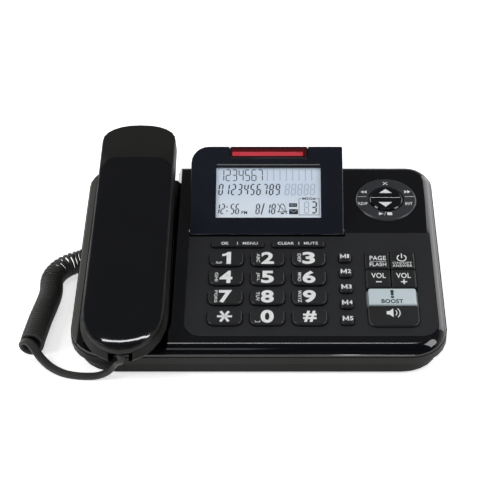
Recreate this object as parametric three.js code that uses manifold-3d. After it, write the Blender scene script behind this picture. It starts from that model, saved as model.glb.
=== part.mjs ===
// An amplified desk telephone: a sloped base with its handset in a cradle on the left,
// large keys, a display that tilts, and a curly handset cord.
// Millimetres. X runs to the right, Y to the back, Z up. The origin is on the table,
// under the middle of the base and handset together.

import * as THREE from 'three';
import { mergeVertices } from 'three/addons/utils/BufferGeometryUtils.js';
import Module from 'manifold-3d';

const wasm = await Module();
wasm.setup();

// Base: overall sizes. Depths called "along" are measured up the sloping deck from its
// front edge, and heights called "rise" are measured square to the deck from the parting
// plane between the bottom housing and the middle frame.
const BASE_WIDTH = 238;
const HALF_WIDTH = BASE_WIDTH / 2;
const BASE_DEPTH = 175.5;
const SLOPE = THREE.MathUtils.degToRad(11.5);
const FRONT_HEIGHT = 9;
const FRAME_RISE = 6;
const DECK_RISE = 12;
const FRONT_RADIUS = 24;
const BACK_RADIUS = 18;
const WALL = 2.4;
const FRAME_WALL = 3.2;
const DECK_THICKNESS = 3;
const SEAM = 0.3;
const OVERRUN = 20;

// Base: bottom housing
const FOOT_HEIGHT = 1.5;
const HOUSING_FLOOR = 2.5;
const HOUSING_TOP = 52;
const HOUSING_STEP = 0.8;
const SIDE_TUCK = 5;
const FRONT_TUCK = 1.2;
const BACK_TUCK = 4;
const POST_DIAMETER = 6;

// Rounded edge of the glossy cover, from its lower edge up to the deck: how far in each
// step lies, and how high, as shares of the edge's width and of its height.
const COVER_EDGE = 7.5;
const COVER_STEP = 0.7;
const EDGE_IN_SHARES = [0, 0.08, 0.3, 0.6, 1];
const EDGE_UP_SHARES = [0, 0.25, 0.56, 0.83, 1];
const EDGE_LIP = 0.15;

// Cradle: the handset's middle and the cradle's right edge keep their distances from the
// base's left side.
const HANDSET_INSET = 34.6;
const HANDSET_ACROSS = HANDSET_INSET - HALF_WIDTH;
const CRADLE_SPAN = 64.1;
const CRADLE_RIGHT = CRADLE_SPAN - HALF_WIDTH;
const CRADLE_SLANT = 3.2;
const CRADLE_FLOOR_RISE = 2.5;
const CRADLE_LIP_RISE = 7.5;
const CRADLE_LINER = 2.2;
const CRADLE_LIP = 5.6;
const CRADLE_RADIUS = 20;
const WELL_DEPTH = 2.5;
const WELL_MARGIN = 4;
const WELL_FRONT_MARGIN = 1.4;
const EAR_WELL_DEPTH = 6.7;
const GRILLE_SLOTS = 5;
const GRILLE_SLOT_WIDTH = 2.2;
const GRILLE_SLOT_LENGTH = 26;
const GRILLE_PITCH = 6;
const SPEAKER_ALONG = 86;
const SPEAKER_DIAMETER = 50;
const SPEAKER_DEPTH = 14;
const MAGNET_DIAMETER = 26;
const SPEAKER_RIM = 3;

// Keypad panel: it fills the deck from the cradle to the base's right side.
const PANEL_GAP = 7.9;
const PANEL_MARGIN = 6;
const PANEL_LEFT = CRADLE_RIGHT + PANEL_GAP;
const PANEL_RIGHT = HALF_WIDTH - PANEL_MARGIN;
const PANEL_FRONT = 12.8;
const PANEL_BACK = 104.8;
const PANEL_RADIUS = 11;
const PANEL_BACK_RADIUS = 1.5;
const PANEL_THICKNESS = 1.7;
const PANEL_LEDGE = 2.5;

// Keys: the three dial columns share what the panel's width leaves beside the memory keys,
// the function cluster and the margins.
const BESIDE_DIAL_KEYS = 79.45;
const KEY_PITCH_ACROSS = (PANEL_RIGHT - PANEL_LEFT - BESIDE_DIAL_KEYS) / 3;
const KEY_PITCH_ALONG = 17.25;
const KEY_SPACING = 4.65;
const KEY_WIDTH = KEY_PITCH_ACROSS - KEY_SPACING;
const KEY_LENGTH = 13;
const KEY_INDENT = 14.3;
const KEY_LEFT = PANEL_LEFT + KEY_INDENT;
const KEY_FRONT = 21.1;
const KEY_RADIUS = 4.4;
const KEY_BACK_RADIUS = 3.2;
const KEY_STAND = 2;
const KEY_CROWN = 0.8;
const KEY_GAP = 0.5;
const KEY_FLANGE = 1.2;
const KEY_TRAVEL = 1.3;
const ROCKER_INDENT = 0.8;
const ROCKER_LEFT = KEY_LEFT + ROCKER_INDENT;
const ROCKER_TRIM = 0.175;
const ROCKER_PITCH = 1.5 * KEY_PITCH_ACROSS - ROCKER_TRIM;
const ROCKER_SPACING = 5.5;
const ROCKER_WIDTH = ROCKER_PITCH - ROCKER_SPACING;
const ROCKER_FRONT = 90.4;
const ROCKER_LENGTH = 5.1;
const ROCKER_RADIUS = 1.6;
const ROCKER_DROP = 1.2;
const MEMORY_GAP = 4.05;
const MEMORY_LEFT = KEY_LEFT + 3 * KEY_PITCH_ACROSS + MEMORY_GAP;
const MEMORY_WIDTH = 8;
const MEMORY_FRONT = 21.5;
const MEMORY_LENGTH = 7.3;
const MEMORY_PITCH = 13.75;
const MEMORY_RADIUS = 1.8;
const CLUSTER_MARGIN = 11.6;
const CLUSTER_WIDTH = 32.4;
const CLUSTER_RIGHT = PANEL_RIGHT - CLUSTER_MARGIN;
const CLUSTER_LEFT = CLUSTER_RIGHT - CLUSTER_WIDTH;
const CLUSTER_FRONT = 20.2;
const CLUSTER_SPEAKER_BACK = 38.2;
const CLUSTER_BOOST_BACK = 53.3;
const CLUSTER_VOLUME_BACK = 70.2;
const CLUSTER_BACK = 85.7;
const CLUSTER_SPLIT = (CLUSTER_LEFT + CLUSTER_RIGHT) / 2;
const CLUSTER_RADIUS = 5;
const CLUSTER_CORNER = 1.2;
const CLUSTER_STAND = 1.2;
const BOOST_INSET = 1;

// Round navigation keys
const NAV_SHIFT = 0.7;
const NAV_ACROSS = CLUSTER_SPLIT + NAV_SHIFT;
const NAV_ALONG = 137;
const RING_DIAMETER = 41.5;
const RING_BORE = 24.4;
const CENTRE_DIAMETER = 23;
const RING_STAND = 1.1;
const CENTRE_STAND = 1.6;
const RING_FLANGE = 1.4;
const RING_CROWN = 0.9;
const NAV_BOTTOM_RISE = 7.3;

// Circuit board and keypad mat
const BOARD_RISE = 3.4;
const BOARD_THICKNESS = 1.6;
const BOARD_MARGIN = 4.5;
const BOARD_TONGUE_REACH = 23.4;
const BOARD_TONGUE_LEFT = NAV_ACROSS - BOARD_TONGUE_REACH;
const BOARD_TONGUE_BACK = 160;
const MAT_THICKNESS = 0.7;
const MAT_MARGIN = 1;

// Display: lengths along its face start at its hinge, and it spans the panel's left edge
// and the memory keys.
const DISPLAY_INSET = 0.1;
const DISPLAY_LEFT = PANEL_LEFT + DISPLAY_INSET;
const DISPLAY_PAST_MEMORY = 4.1;
const DISPLAY_RIGHT = MEMORY_LEFT + DISPLAY_PAST_MEMORY;
const DISPLAY_LENGTH = 64.7;
const DISPLAY_TILT = THREE.MathUtils.degToRad(24.5);
const DISPLAY_HALF = 4.5;
const DISPLAY_LIP = 4;
const DISPLAY_RADIUS = 12;
const DISPLAY_CORNER = 1.2;
const DISPLAY_SKIN = 1.5;
const DISPLAY_BEVEL = 0.5;
const HINGE_ALONG = 108.3;
const HINGE_RISE = 9.9;
const PIN_DIAMETER = 3;
const RECESS_FLOOR_RISE = 4.8;
const RECESS_MARGIN = 0.5;
const RECESS_FRONT_MARGIN = 2.7;
const RECESS_LINER = 2.2;
const WINDOW_LEFT_MARGIN = 17.5;
const WINDOW_RIGHT_MARGIN = 15.4;
const WINDOW_LEFT = DISPLAY_LEFT + WINDOW_LEFT_MARGIN;
const WINDOW_RIGHT = DISPLAY_RIGHT - WINDOW_RIGHT_MARGIN;
const WINDOW_FRONT = 8.6;
const WINDOW_BACK = 44.6;
const WINDOW_THICKNESS = 1.3;
const MODULE_MARGIN = 3;
const MODULE_THICKNESS = 3.4;
const LIGHT_LEFT_MARGIN = 26.3;
const LIGHT_RIGHT_MARGIN = 23.8;
const LIGHT_LEFT = DISPLAY_LEFT + LIGHT_LEFT_MARGIN;
const LIGHT_RIGHT = DISPLAY_RIGHT - LIGHT_RIGHT_MARGIN;
const LIGHT_LENGTH = 9;
const LIGHT_DEPTH = 3;

// Handset: "along" starts at its front tip, and "up" at the parting of its two shells
const HANDSET_ALONG = -8.6;
const HANDSET_RISE = 19;
const HANDSET_TILT = THREE.MathUtils.degToRad(2.3);
const HANDSET_LENGTH = 205;
const HANDSET_WIDTH = 51.4;
const MOUTH_ROUND = 32;
const EAR_ROUND = 19;
const EAR_POWER = 0.9;
const HANDSET_TOP = 6.5;
const RIM_UP = 4.2;
const RIM_WIDTH = 0.9;
const CROWN_WIDTH = 12;
const FLARE = 2.2;
const GRIP_DEPTH = 9.2;
const GRIP_TUCK = 8;
const BAND_DEPTH_SHARES = [0.46, 0.64, 0.88, 1];
const BAND_OUT_SHARES = [1, 0.7, -1.2, -3.6];
const INLAY_LENGTH = 167;
const INLAY_RADIUS = 12;
const CAP_DROP = THREE.MathUtils.degToRad(7);
const MOUTH_LOBE_FRONT = 17;
const MOUTH_LOBE_BACK = 52;
const MOUTH_LOBE_WIDTH = 38;
const EAR_LOBE_FRONT = 154;
const EAR_LOBE_BACK = 198;
const EAR_LOBE_WIDTH = 43;
const LOBE_TAPER = 3;
const LOBE_ROUND = 2;
const LOBE_RADIUS = 17;
const CAPSULE_DIAMETER = 36;
const CAPSULE_DEPTH = 8;
const MICROPHONE_DIAMETER = 10;
const MICROPHONE_DEPTH = 5;
const SOUND_HOLE = 2;
const SOUND_RING = 7;
const SOUND_HOLES = 6;

// Hook switch
const HOOK_ALONG = 158;
const HOOK_WIDTH = 8;
const HOOK_LENGTH = 14;
const HOOK_DEPTH = 9;
const HOOK_FLANGE = 1.6;
const HOOK_FLANGE_THICKNESS = 1.5;
const HOOK_TRAVEL = 4;

// Cord, its plugs and its sockets
const PLUG_WIDTH = 7.6;
const PLUG_HEIGHT = 4;
const PLUG_LENGTH = 12;
const PLUG_BEVEL = 0.6;
const PLUG_DROP = 3.4;
const PLUG_SETBACK = 5;
const PLUG_GRIP = 8;
const SOCKET_WALL = 1.5;
const SOCKET_END = 2;
const NOTCH_WIDTH = 15;
const LEAD_SLOT_WIDTH = 9.6;
const CORD_DIAMETER = 2;
const LEAD_WIDTH = 5.6;
const LEAD_HEIGHT = 2.8;
const COIL_DIAMETER = 15.6;
const COIL_PITCH = 2.47;
const COIL_HEIGHT = 7.9;
const CLOSING_LENGTH = 8.5;
const CLOSING_TURN = 0.45;
const CURL_STEPS = 8;
const CURL_SIDES = 5;
const CORD_SIDES = 8;
const BAY_ALONG = 123;
const BAY_WIDTH = 27;
const BAY_HEIGHT = 19;
const BAY_DEPTH = 11;
const BAY_LEFT = BAY_DEPTH - HALF_WIDTH;
const BAY_LINER = 2.2;

// Sockets at the back
const LINE_SOCKET_INSET = 79;
const LINE_SOCKET_ACROSS = HALF_WIDTH - LINE_SOCKET_INSET;
const LINE_SOCKET_WIDTH = 10;
const LINE_SOCKET_HEIGHT = 7;
const POWER_SOCKET_INSET = 51;
const POWER_SOCKET_ACROSS = HALF_WIDTH - POWER_SOCKET_INSET;
const POWER_SOCKET_BORE = 6.4;
const POWER_PIN = 2;
const SOCKET_HEIGHT = 16;
const SOCKET_DEPTH = 13;

// Feet and screws
const FOOT_DIAMETER = 13;
const FOOT_THICKNESS = 2.2;
const FOOT_INSET = 22;
const SCREW_HEAD = 5.6;
const SCREW_HEAD_DEPTH = 2;
const SCREW_SHANK = 3;
const SCREW_LENGTH = 14;
const SCREW_INSET = 67;
const SCREW_ACROSS = HALF_WIDTH - SCREW_INSET;
const SCREW_ALONG = 150;
const COLUMN_DIAMETER = 7;

// Counts of facets
const CORNER_STEPS = 3;
const SHELL_CORNER_STEPS = 6;
const END_STEPS = 12;
const ROUND_SIDES = 24;
const SMALL_SIDES = 12;

// Worked out from the sizes above
const HALF_TURN = Math.PI;
const QUARTER_TURN = Math.PI / 2;
const TURN = 2 * Math.PI;
const PANEL_UNDERSIDE = DECK_RISE - PANEL_THICKNESS;
const DECK_UNDERSIDE = DECK_RISE - DECK_THICKNESS;
const MAT_TOP = BOARD_RISE + BOARD_THICKNESS + SEAM + MAT_THICKNESS;
const KEY_BOTTOM = MAT_TOP + SEAM + KEY_TRAVEL;
const RECESS = {
  left: DISPLAY_LEFT - RECESS_MARGIN,
  right: DISPLAY_RIGHT + RECESS_MARGIN,
  front: HINGE_ALONG - DISPLAY_LIP - RECESS_FRONT_MARGIN,
  back: HINGE_ALONG + DISPLAY_LENGTH - DISPLAY_LIP + RECESS_MARGIN,
};
const CRADLE_FLOOR_UNDERSIDE = CRADLE_FLOOR_RISE - CRADLE_LINER;
const WELL_RISE = CRADLE_FLOOR_RISE - WELL_DEPTH;
const EAR_WELL_RISE = CRADLE_FLOOR_RISE - EAR_WELL_DEPTH;

// Finishes
const glossyBlack = new THREE.MeshStandardMaterial({ color: 0x19191c, roughness: 0.12, metalness: 0 });
const mattePanel = new THREE.MeshStandardMaterial({ color: 0x2d2e32, roughness: 0.6, metalness: 0 });
const matteShell = new THREE.MeshStandardMaterial({ color: 0x2b2b28, roughness: 0.55, metalness: 0 });
const keyBlack = new THREE.MeshStandardMaterial({ color: 0x161617, roughness: 0.5, metalness: 0 });
const keyWhite = new THREE.MeshStandardMaterial({ color: 0xd7e4e8, roughness: 0.5, metalness: 0 });
const slateBlack = new THREE.MeshStandardMaterial({ color: 0x1e202a, roughness: 0.25, metalness: 0 });
const redLens = new THREE.MeshStandardMaterial({ color: 0xb01822, roughness: 0.2, metalness: 0 });
const screenBlue = new THREE.MeshStandardMaterial({ color: 0xcfdcea, roughness: 0.3, metalness: 0 });
const clearGlass = new THREE.MeshStandardMaterial({ color: 0xe8eef2, roughness: 0.05, metalness: 0 });
const boardGreen = new THREE.MeshStandardMaterial({ color: 0x1f5c38, roughness: 0.6, metalness: 0 });
const rubber = new THREE.MeshStandardMaterial({ color: 0x202020, roughness: 0.85, metalness: 0 });
const steel = new THREE.MeshStandardMaterial({ color: 0xb4b6b8, roughness: 0.35, metalness: 1 });
const clearPlug = new THREE.MeshStandardMaterial({ color: 0x55585a, roughness: 0.25, metalness: 0 });

// Outlines: counter-clockwise loops of points

function roundedRect(box, inset, radii, steps = CORNER_STEPS) {
  const left = box.left + inset;
  const right = box.right - inset;
  const front = box.front + inset;
  const back = box.back - inset;
  const corners = [[left, front, 1, 1], [right, front, -1, 1], [right, back, -1, -1], [left, back, 1, -1]];
  return corners.flatMap(([x, y, inX, inY], corner) => {
    const radius = Math.max(radii[corner] - inset, SEAM);
    const start = HALF_TURN + corner * QUARTER_TURN;
    return Array.from({ length: steps + 1 }, (_, step) => {
      const angle = start + (QUARTER_TURN * step) / steps;
      return new THREE.Vector2(
        x + inX * radius + radius * Math.cos(angle),
        y + inY * radius + radius * Math.sin(angle),
      );
    });
  });
}

function circle(x, y, diameter, sides) {
  return Array.from({ length: sides }, (_, side) => {
    const angle = (TURN * side) / sides;
    return new THREE.Vector2(x + (diameter / 2) * Math.cos(angle), y + (diameter / 2) * Math.sin(angle));
  });
}

function same(radius) {
  return [radius, radius, radius, radius];
}

// The handset seen from above: straight sides, with a long round mouth end and a blunt ear end.
// An end's power is 1 for a plain ellipse, and less for a squarer curve.
function handsetOutline(inset) {
  const half = HANDSET_WIDTH / 2 - inset;
  const ends = [
    [MOUTH_ROUND, MOUTH_ROUND, HALF_TURN, 1],
    [HANDSET_LENGTH - EAR_ROUND, EAR_ROUND, 0, EAR_POWER],
  ];
  return ends.flatMap(([centre, round, start, power]) =>
    Array.from({ length: END_STEPS + 1 }, (_, step) => {
      const angle = start + (HALF_TURN * step) / END_STEPS;
      const across = Math.cos(angle);
      const along = Math.sin(angle);
      return new THREE.Vector2(
        half * Math.sign(across) * Math.abs(across) ** power,
        centre + (round - inset) * Math.sign(along) * Math.abs(along) ** power,
      );
    }),
  );
}

// The lower shell's outline: it bulges at the mouth end and runs out towards the ear end.
function flaredOutline(out) {
  const plain = handsetOutline(Math.max(-out, 0));
  return handsetOutline(-out).map((point, i) => point.lerp(plain[i], Math.max(point.y, 0) / HANDSET_LENGTH));
}

// Solids

// A closed skin through rings that have the same number of points, capped at both ends.
function loft(rings) {
  const count = rings[0].length;
  const index = [];
  for (let ring = 0; ring < rings.length - 1; ring++) {
    for (let i = 0; i < count; i++) {
      const a = ring * count + i;
      const b = ring * count + ((i + 1) % count);
      index.push(a, b, b + count, a, b + count, a + count);
    }
  }
  const last = (rings.length - 1) * count;
  THREE.ShapeUtils.triangulateShape(rings[0], []).forEach(([a, b, c]) => {
    index.push(a, c, b);
  });
  THREE.ShapeUtils.triangulateShape(rings[rings.length - 1], []).forEach(([a, b, c]) => {
    index.push(last + a, last + b, last + c);
  });
  const geometry = new THREE.BufferGeometry();
  const places = rings.flat().flatMap((point) => [point.x, point.y, point.z]);
  geometry.setAttribute('position', new THREE.Float32BufferAttribute(places, 3));
  geometry.setIndex(index);
  return geometry;
}

// Layers of one outline, each at its height.
function stack(layers) {
  return loft(layers.map(([outline, height]) => outline.map((p) => new THREE.Vector3(p.x, p.y, height))));
}

function block(left, right, front, back, bottom, top) {
  const geometry = new THREE.BoxGeometry(right - left, back - front, top - bottom);
  return geometry.translate((left + right) / 2, (front + back) / 2, (bottom + top) / 2);
}

// A round bar that stands up from a height.
function bar(x, y, diameter, bottom, top, sides = SMALL_SIDES) {
  return stack([[circle(x, y, diameter, sides), bottom], [circle(x, y, diameter, sides), top]]);
}

// A round bar that lies from left to right.
function crossBar(left, right, y, z, diameter, sides = SMALL_SIDES) {
  return bar(0, 0, diameter, left, right, sides).rotateY(QUARTER_TURN).translate(0, y, z);
}

function solid(geometry) {
  const bare = geometry.index ? geometry.clone() : geometry;
  bare.deleteAttribute('normal');
  bare.deleteAttribute('uv');
  const merged = mergeVertices(bare);
  return new wasm.Manifold(new wasm.Mesh({
    numProp: 3,
    vertProperties: new Float32Array(merged.attributes.position.array),
    triVerts: new Uint32Array(merged.index.array),
  }));
}

function join(...geometries) {
  return geometries.map(asSolid).reduce((sum, next) => sum.add(next));
}

function cut(body, ...tools) {
  return tools.map(asSolid).reduce((rest, tool) => rest.subtract(tool), asSolid(body));
}

function common(body, ...others) {
  return others.map(asSolid).reduce((rest, other) => rest.intersect(other), asSolid(body));
}

function asSolid(shape) {
  return shape instanceof THREE.BufferGeometry ? solid(shape) : shape;
}

function asGeometry(shape) {
  if (shape instanceof THREE.BufferGeometry) {
    return shape;
  }
  const { vertProperties, triVerts } = shape.getMesh();
  const geometry = new THREE.BufferGeometry();
  geometry.setAttribute('position', new THREE.BufferAttribute(new Float32Array(vertProperties), 3));
  geometry.setIndex(new THREE.BufferAttribute(new Uint32Array(triVerts), 1));
  return geometry;
}

function place(group, name, shape, material) {
  const geometry = asGeometry(shape);
  geometry.computeVertexNormals();
  const mesh = new THREE.Mesh(geometry, material);
  mesh.name = name;
  group.add(mesh);
  return mesh;
}

// Groups: the deck's frame lies in the parting plane, and the display and handset lie on the deck.
const phone = new THREE.Group();
const deck = new THREE.Group();
deck.position.set(0, 0, FRONT_HEIGHT);
deck.rotation.x = SLOPE;
phone.add(deck);
const display = new THREE.Group();
display.position.set(0, HINGE_ALONG, HINGE_RISE);
display.rotation.x = DISPLAY_TILT;
deck.add(display);
const handset = new THREE.Group();
handset.position.set(HANDSET_ACROSS, HANDSET_ALONG, HANDSET_RISE);
handset.rotation.x = HANDSET_TILT;
deck.add(handset);
phone.updateMatrixWorld(true);

// A shape drawn on the deck, for use on a piece drawn in the base's level frame.
function fromDeck(geometry) {
  return geometry.clone().applyMatrix4(deck.matrixWorld);
}

const BASE = { left: -HALF_WIDTH, right: HALF_WIDTH, front: 0, back: BASE_DEPTH };
const BASE_RADII = [FRONT_RADIUS, FRONT_RADIUS, BACK_RADIUS, BACK_RADIUS];

function baseOutline(inset) {
  return roundedRect(BASE, inset, BASE_RADII, SHELL_CORNER_STEPS);
}

// How far up and in the glossy cover's rounded edge goes, step by step.
function coverLayers(offset, drop) {
  const start = FRAME_RISE + EDGE_LIP;
  const height = DECK_RISE - start;
  return EDGE_IN_SHARES.map((share, i) => [
    baseOutline(COVER_STEP + share * COVER_EDGE + offset),
    start + EDGE_UP_SHARES[i] * height - drop,
  ]);
}

// Keys of the panel: each has a name, a box, its four corner radii and the sides with a flange.

function keyBox(left, front, width, length) {
  return { left, right: left + width, front, back: front + length };
}

const DIAL_NAMES = [
  ['key_star', 'key_0', 'key_hash'],
  ['key_7', 'key_8', 'key_9'],
  ['key_4', 'key_5', 'key_6'],
  ['key_1', 'key_2', 'key_3'],
];
const ALL_SIDES = { left: 1, right: 1, front: 1, back: 1 };
const dialKeys = DIAL_NAMES.flatMap((names, row) => names.map((name, column) => ({
  name,
  box: keyBox(KEY_LEFT + column * KEY_PITCH_ACROSS, KEY_FRONT + row * KEY_PITCH_ALONG, KEY_WIDTH, KEY_LENGTH),
  radii: [KEY_RADIUS, KEY_RADIUS, KEY_BACK_RADIUS, KEY_BACK_RADIUS],
  sides: ALL_SIDES,
  stand: KEY_STAND,
  finish: keyBlack,
})));
const MEMORY_COUNT = 5;
const memoryKeys = Array.from({ length: MEMORY_COUNT }, (_, i) => ({
  name: `memory_key_${i + 1}`,
  box: keyBox(MEMORY_LEFT, MEMORY_FRONT + (MEMORY_COUNT - 1 - i) * MEMORY_PITCH, MEMORY_WIDTH, MEMORY_LENGTH),
  radii: same(MEMORY_RADIUS),
  sides: ALL_SIDES,
  stand: KEY_STAND,
  finish: keyBlack,
}));
const rockers = ['menu_rocker', 'clear_rocker'].map((name, i) => ({
  name,
  box: keyBox(ROCKER_LEFT + i * ROCKER_PITCH, ROCKER_FRONT, ROCKER_WIDTH, ROCKER_LENGTH),
  radii: same(ROCKER_RADIUS),
  sides: ALL_SIDES,
  stand: KEY_STAND,
  drop: ROCKER_DROP,
  finish: keyBlack,
}));

// The function cluster: six keys that share one hole, with thin gaps between them. The white
// one is a little narrower than the hole.
const HALF_GAP = KEY_GAP / 2;
const CORNER = CLUSTER_CORNER;
const CLUSTER = { left: CLUSTER_LEFT, right: CLUSTER_RIGHT, front: CLUSTER_FRONT, back: CLUSTER_BACK };
const CLUSTER_RADII = [CLUSTER_RADIUS, CLUSTER_RADIUS, CORNER, CORNER];
const clusterKeys = [
  ['page_key', { right: CLUSTER_SPLIT, front: CLUSTER_VOLUME_BACK }, { left: 1, back: 1 }],
  ['answer_key', { left: CLUSTER_SPLIT, front: CLUSTER_VOLUME_BACK }, { right: 1, back: 1 }],
  [
    'volume_down_key',
    { right: CLUSTER_SPLIT, front: CLUSTER_BOOST_BACK, back: CLUSTER_VOLUME_BACK },
    { left: 1 },
  ],
  [
    'volume_up_key',
    { left: CLUSTER_SPLIT, front: CLUSTER_BOOST_BACK, back: CLUSTER_VOLUME_BACK },
    { right: 1 },
  ],
  ['boost_key', { front: CLUSTER_SPEAKER_BACK, back: CLUSTER_BOOST_BACK }, { left: 1, right: 1 }],
  ['speaker_key', { back: CLUSTER_SPEAKER_BACK }, { left: 1, right: 1, front: 1 }],
].map(([name, part, sides]) => {
  const whole = { ...CLUSTER, ...part };
  const inset = name === 'boost_key' ? BOOST_INSET : 0;
  return {
    name,
    box: {
      left: whole.left + (part.left ? HALF_GAP : inset),
      right: whole.right - (part.right ? HALF_GAP : inset),
      front: whole.front + (part.front ? HALF_GAP : 0),
      back: whole.back - (part.back ? HALF_GAP : 0),
    },
    radii: name === 'speaker_key' ? CLUSTER_RADII : same(CORNER),
    sides,
    stand: CLUSTER_STAND,
    finish: name === 'boost_key' ? keyWhite : keyBlack,
  };
});
const panelKeys = [...dialKeys, ...memoryKeys, ...rockers, ...clusterKeys];

// A key: a flange under the panel, a neck through its hole and a bevelled top.
function keyShape({ box, radii, sides, stand, drop = 0 }) {
  const wide = {
    left: box.left - (sides.left ? KEY_FLANGE : 0),
    right: box.right + (sides.right ? KEY_FLANGE : 0),
    front: box.front - (sides.front ? KEY_FLANGE : 0),
    back: box.back + (sides.back ? KEY_FLANGE : 0),
  };
  const flangeTop = PANEL_UNDERSIDE - SEAM - drop;
  const top = DECK_RISE + stand;
  return stack([
    [roundedRect(wide, 0, radii), KEY_BOTTOM],
    [roundedRect(wide, 0, radii), flangeTop],
    [roundedRect(box, 0, radii), flangeTop],
    [roundedRect(box, 0, radii), top - KEY_CROWN],
    [roundedRect(box, KEY_CROWN, radii), top],
  ]);
}

function keyHole({ box, radii }) {
  const hole = roundedRect(box, -KEY_GAP, radii);
  return stack([[hole, PANEL_UNDERSIDE - OVERRUN], [hole, DECK_RISE + OVERRUN]]);
}

// Places in the cradle, on the deck
const EAR_WELL = {
  left: HANDSET_ACROSS - EAR_LOBE_WIDTH / 2 - WELL_FRONT_MARGIN,
  front: HANDSET_ALONG + EAR_LOBE_FRONT - WELL_FRONT_MARGIN,
};
const CRADLE = {
  left: BASE.left + CRADLE_LIP,
  right: CRADLE_RIGHT - CRADLE_SLANT,
  front: CRADLE_LIP,
  back: BASE_DEPTH + OVERRUN,
};
const WELL = {
  left: HANDSET_ACROSS - MOUTH_LOBE_WIDTH / 2 - WELL_MARGIN,
  right: HANDSET_ACROSS + MOUTH_LOBE_WIDTH / 2 + WELL_MARGIN,
  front: HANDSET_ALONG + MOUTH_LOBE_FRONT - WELL_FRONT_MARGIN,
  back: HANDSET_ALONG + MOUTH_LOBE_BACK + WELL_MARGIN,
};

// Bottom housing: a tray with drafted walls, cut off under the sloping parting plane.
function housingLow(inset) {
  const low = {
    left: BASE.left + HOUSING_STEP + SIDE_TUCK,
    right: BASE.right - HOUSING_STEP - SIDE_TUCK,
    front: HOUSING_STEP + FRONT_TUCK,
    back: HOUSING_BACK - BACK_TUCK,
  };
  return roundedRect(low, inset, BASE_RADII, SHELL_CORNER_STEPS);
}

function bottomHousing() {
  const high = {
    left: BASE.left + HOUSING_STEP,
    right: BASE.right - HOUSING_STEP,
    front: HOUSING_STEP,
    back: HOUSING_BACK,
  };
  const outer = stack([
    [housingLow(0), FOOT_HEIGHT],
    [roundedRect(high, 0, BASE_RADII, SHELL_CORNER_STEPS), HOUSING_TOP],
  ]);
  const inner = stack([
    [housingLow(WALL), HOUSING_INSIDE],
    [roundedRect(high, WALL, BASE_RADII, SHELL_CORNER_STEPS), HOUSING_TOP + OVERRUN],
  ]);
  const above = (rise) => fromDeck(block(
    -BASE_WIDTH, BASE_WIDTH, -BASE_DEPTH, 2 * BASE_DEPTH, rise, HOUSING_TOP * 2,
  ));
  const bayWalls = common(outer, block(
    -BASE_WIDTH, BAY_LEFT + BAY_LINER,
    BAY_ALONG - BAY_WIDTH / 2 - BAY_LINER, BAY_ALONG + BAY_WIDTH / 2 + BAY_LINER,
    0, BAY_HEIGHT + BAY_LINER,
  ));
  const posts = common(
    join(...boardPosts().map(([x, y]) => bar(x, y, POST_DIAMETER, FOOT_HEIGHT, HOUSING_TOP))),
    outer,
  );
  const tray = join(cut(cut(outer, inner), above(-EDGE_LIP)), bayWalls, cut(posts, above(BOARD_RISE - SEAM)));
  return cut(
    tray,
    block(
      -BASE_WIDTH, BAY_LEFT,
      BAY_ALONG - BAY_WIDTH / 2, BAY_ALONG + BAY_WIDTH / 2,
      -OVERRUN, BAY_HEIGHT,
    ),
    block(
      BAY_LEFT - SEAM, BAY_LEFT + BAY_LINER + SEAM,
      BAY_ALONG - CORD_SOCKET_HALF - SEAM, BAY_ALONG + CORD_SOCKET_HALF + SEAM,
      COIL_HEIGHT - CORD_SOCKET_RISE - SEAM, COIL_HEIGHT + CORD_SOCKET_RISE + SEAM,
    ),
    fromDeck(earWellBlock(SEAM, EAR_WELL_RISE - CRADLE_LINER, CRADLE_FLOOR_RISE)),
    ...backSockets().map(({ left, right, bottom, top }) => block(
      left - SEAM, right + SEAM, HOUSING_BACK - BACK_TUCK - WALL - OVERRUN, HOUSING_BACK + OVERRUN,
      bottom - SEAM, top + SEAM,
    )),
    ...footPlaces().map(([x, y]) => bar(
      x, y, FOOT_DIAMETER + 2 * SEAM, -OVERRUN, FOOT_THICKNESS + SEAM, ROUND_SIDES,
    )),
    ...screwPlaces().flatMap(([x, y]) => [
      bar(x, y, SCREW_SHANK + 2 * SEAM, -OVERRUN, HOUSING_INSIDE + OVERRUN / 2),
      bar(x, y, SCREW_HEAD + 2 * SEAM, -OVERRUN, SCREW_SEAT),
    ]),
  );
}

const HOUSING_BACK = BASE_DEPTH * Math.cos(SLOPE) - HOUSING_STEP;
const HOUSING_INSIDE = FOOT_HEIGHT + HOUSING_FLOOR;
const SCREW_SEAT = FOOT_HEIGHT + SCREW_HEAD_DEPTH / 2;
const CORD_SOCKET_HALF = PLUG_WIDTH / 2 + SOCKET_WALL;
const CORD_SOCKET_RISE = PLUG_HEIGHT / 2 + SOCKET_WALL;

// Board posts stand near the corners of the circuit board, given in the base's level frame.
function boardPosts() {
  const left = PANEL_LEFT + BOARD_MARGIN + POST_DIAMETER;
  const right = PANEL_RIGHT - BOARD_MARGIN - POST_DIAMETER;
  const front = (PANEL_FRONT + BOARD_MARGIN + POST_DIAMETER) * Math.cos(SLOPE);
  const back = (RECESS.front - BOARD_MARGIN - POST_DIAMETER) * Math.cos(SLOPE);
  const tongue = (BOARD_TONGUE_BACK - POST_DIAMETER) * Math.cos(SLOPE);
  return [[left, front], [right, front], [left, back], [right, back], [right, tongue]];
}

function footPlaces() {
  const across = HALF_WIDTH - FOOT_INSET;
  return [-across, across].flatMap((x) => [FOOT_INSET, HOUSING_BACK - FOOT_INSET].map((y) => [x, y]));
}

function screwPlaces() {
  return [-SCREW_ACROSS, SCREW_ACROSS].map((x) => [x, SCREW_ALONG]);
}

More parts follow.
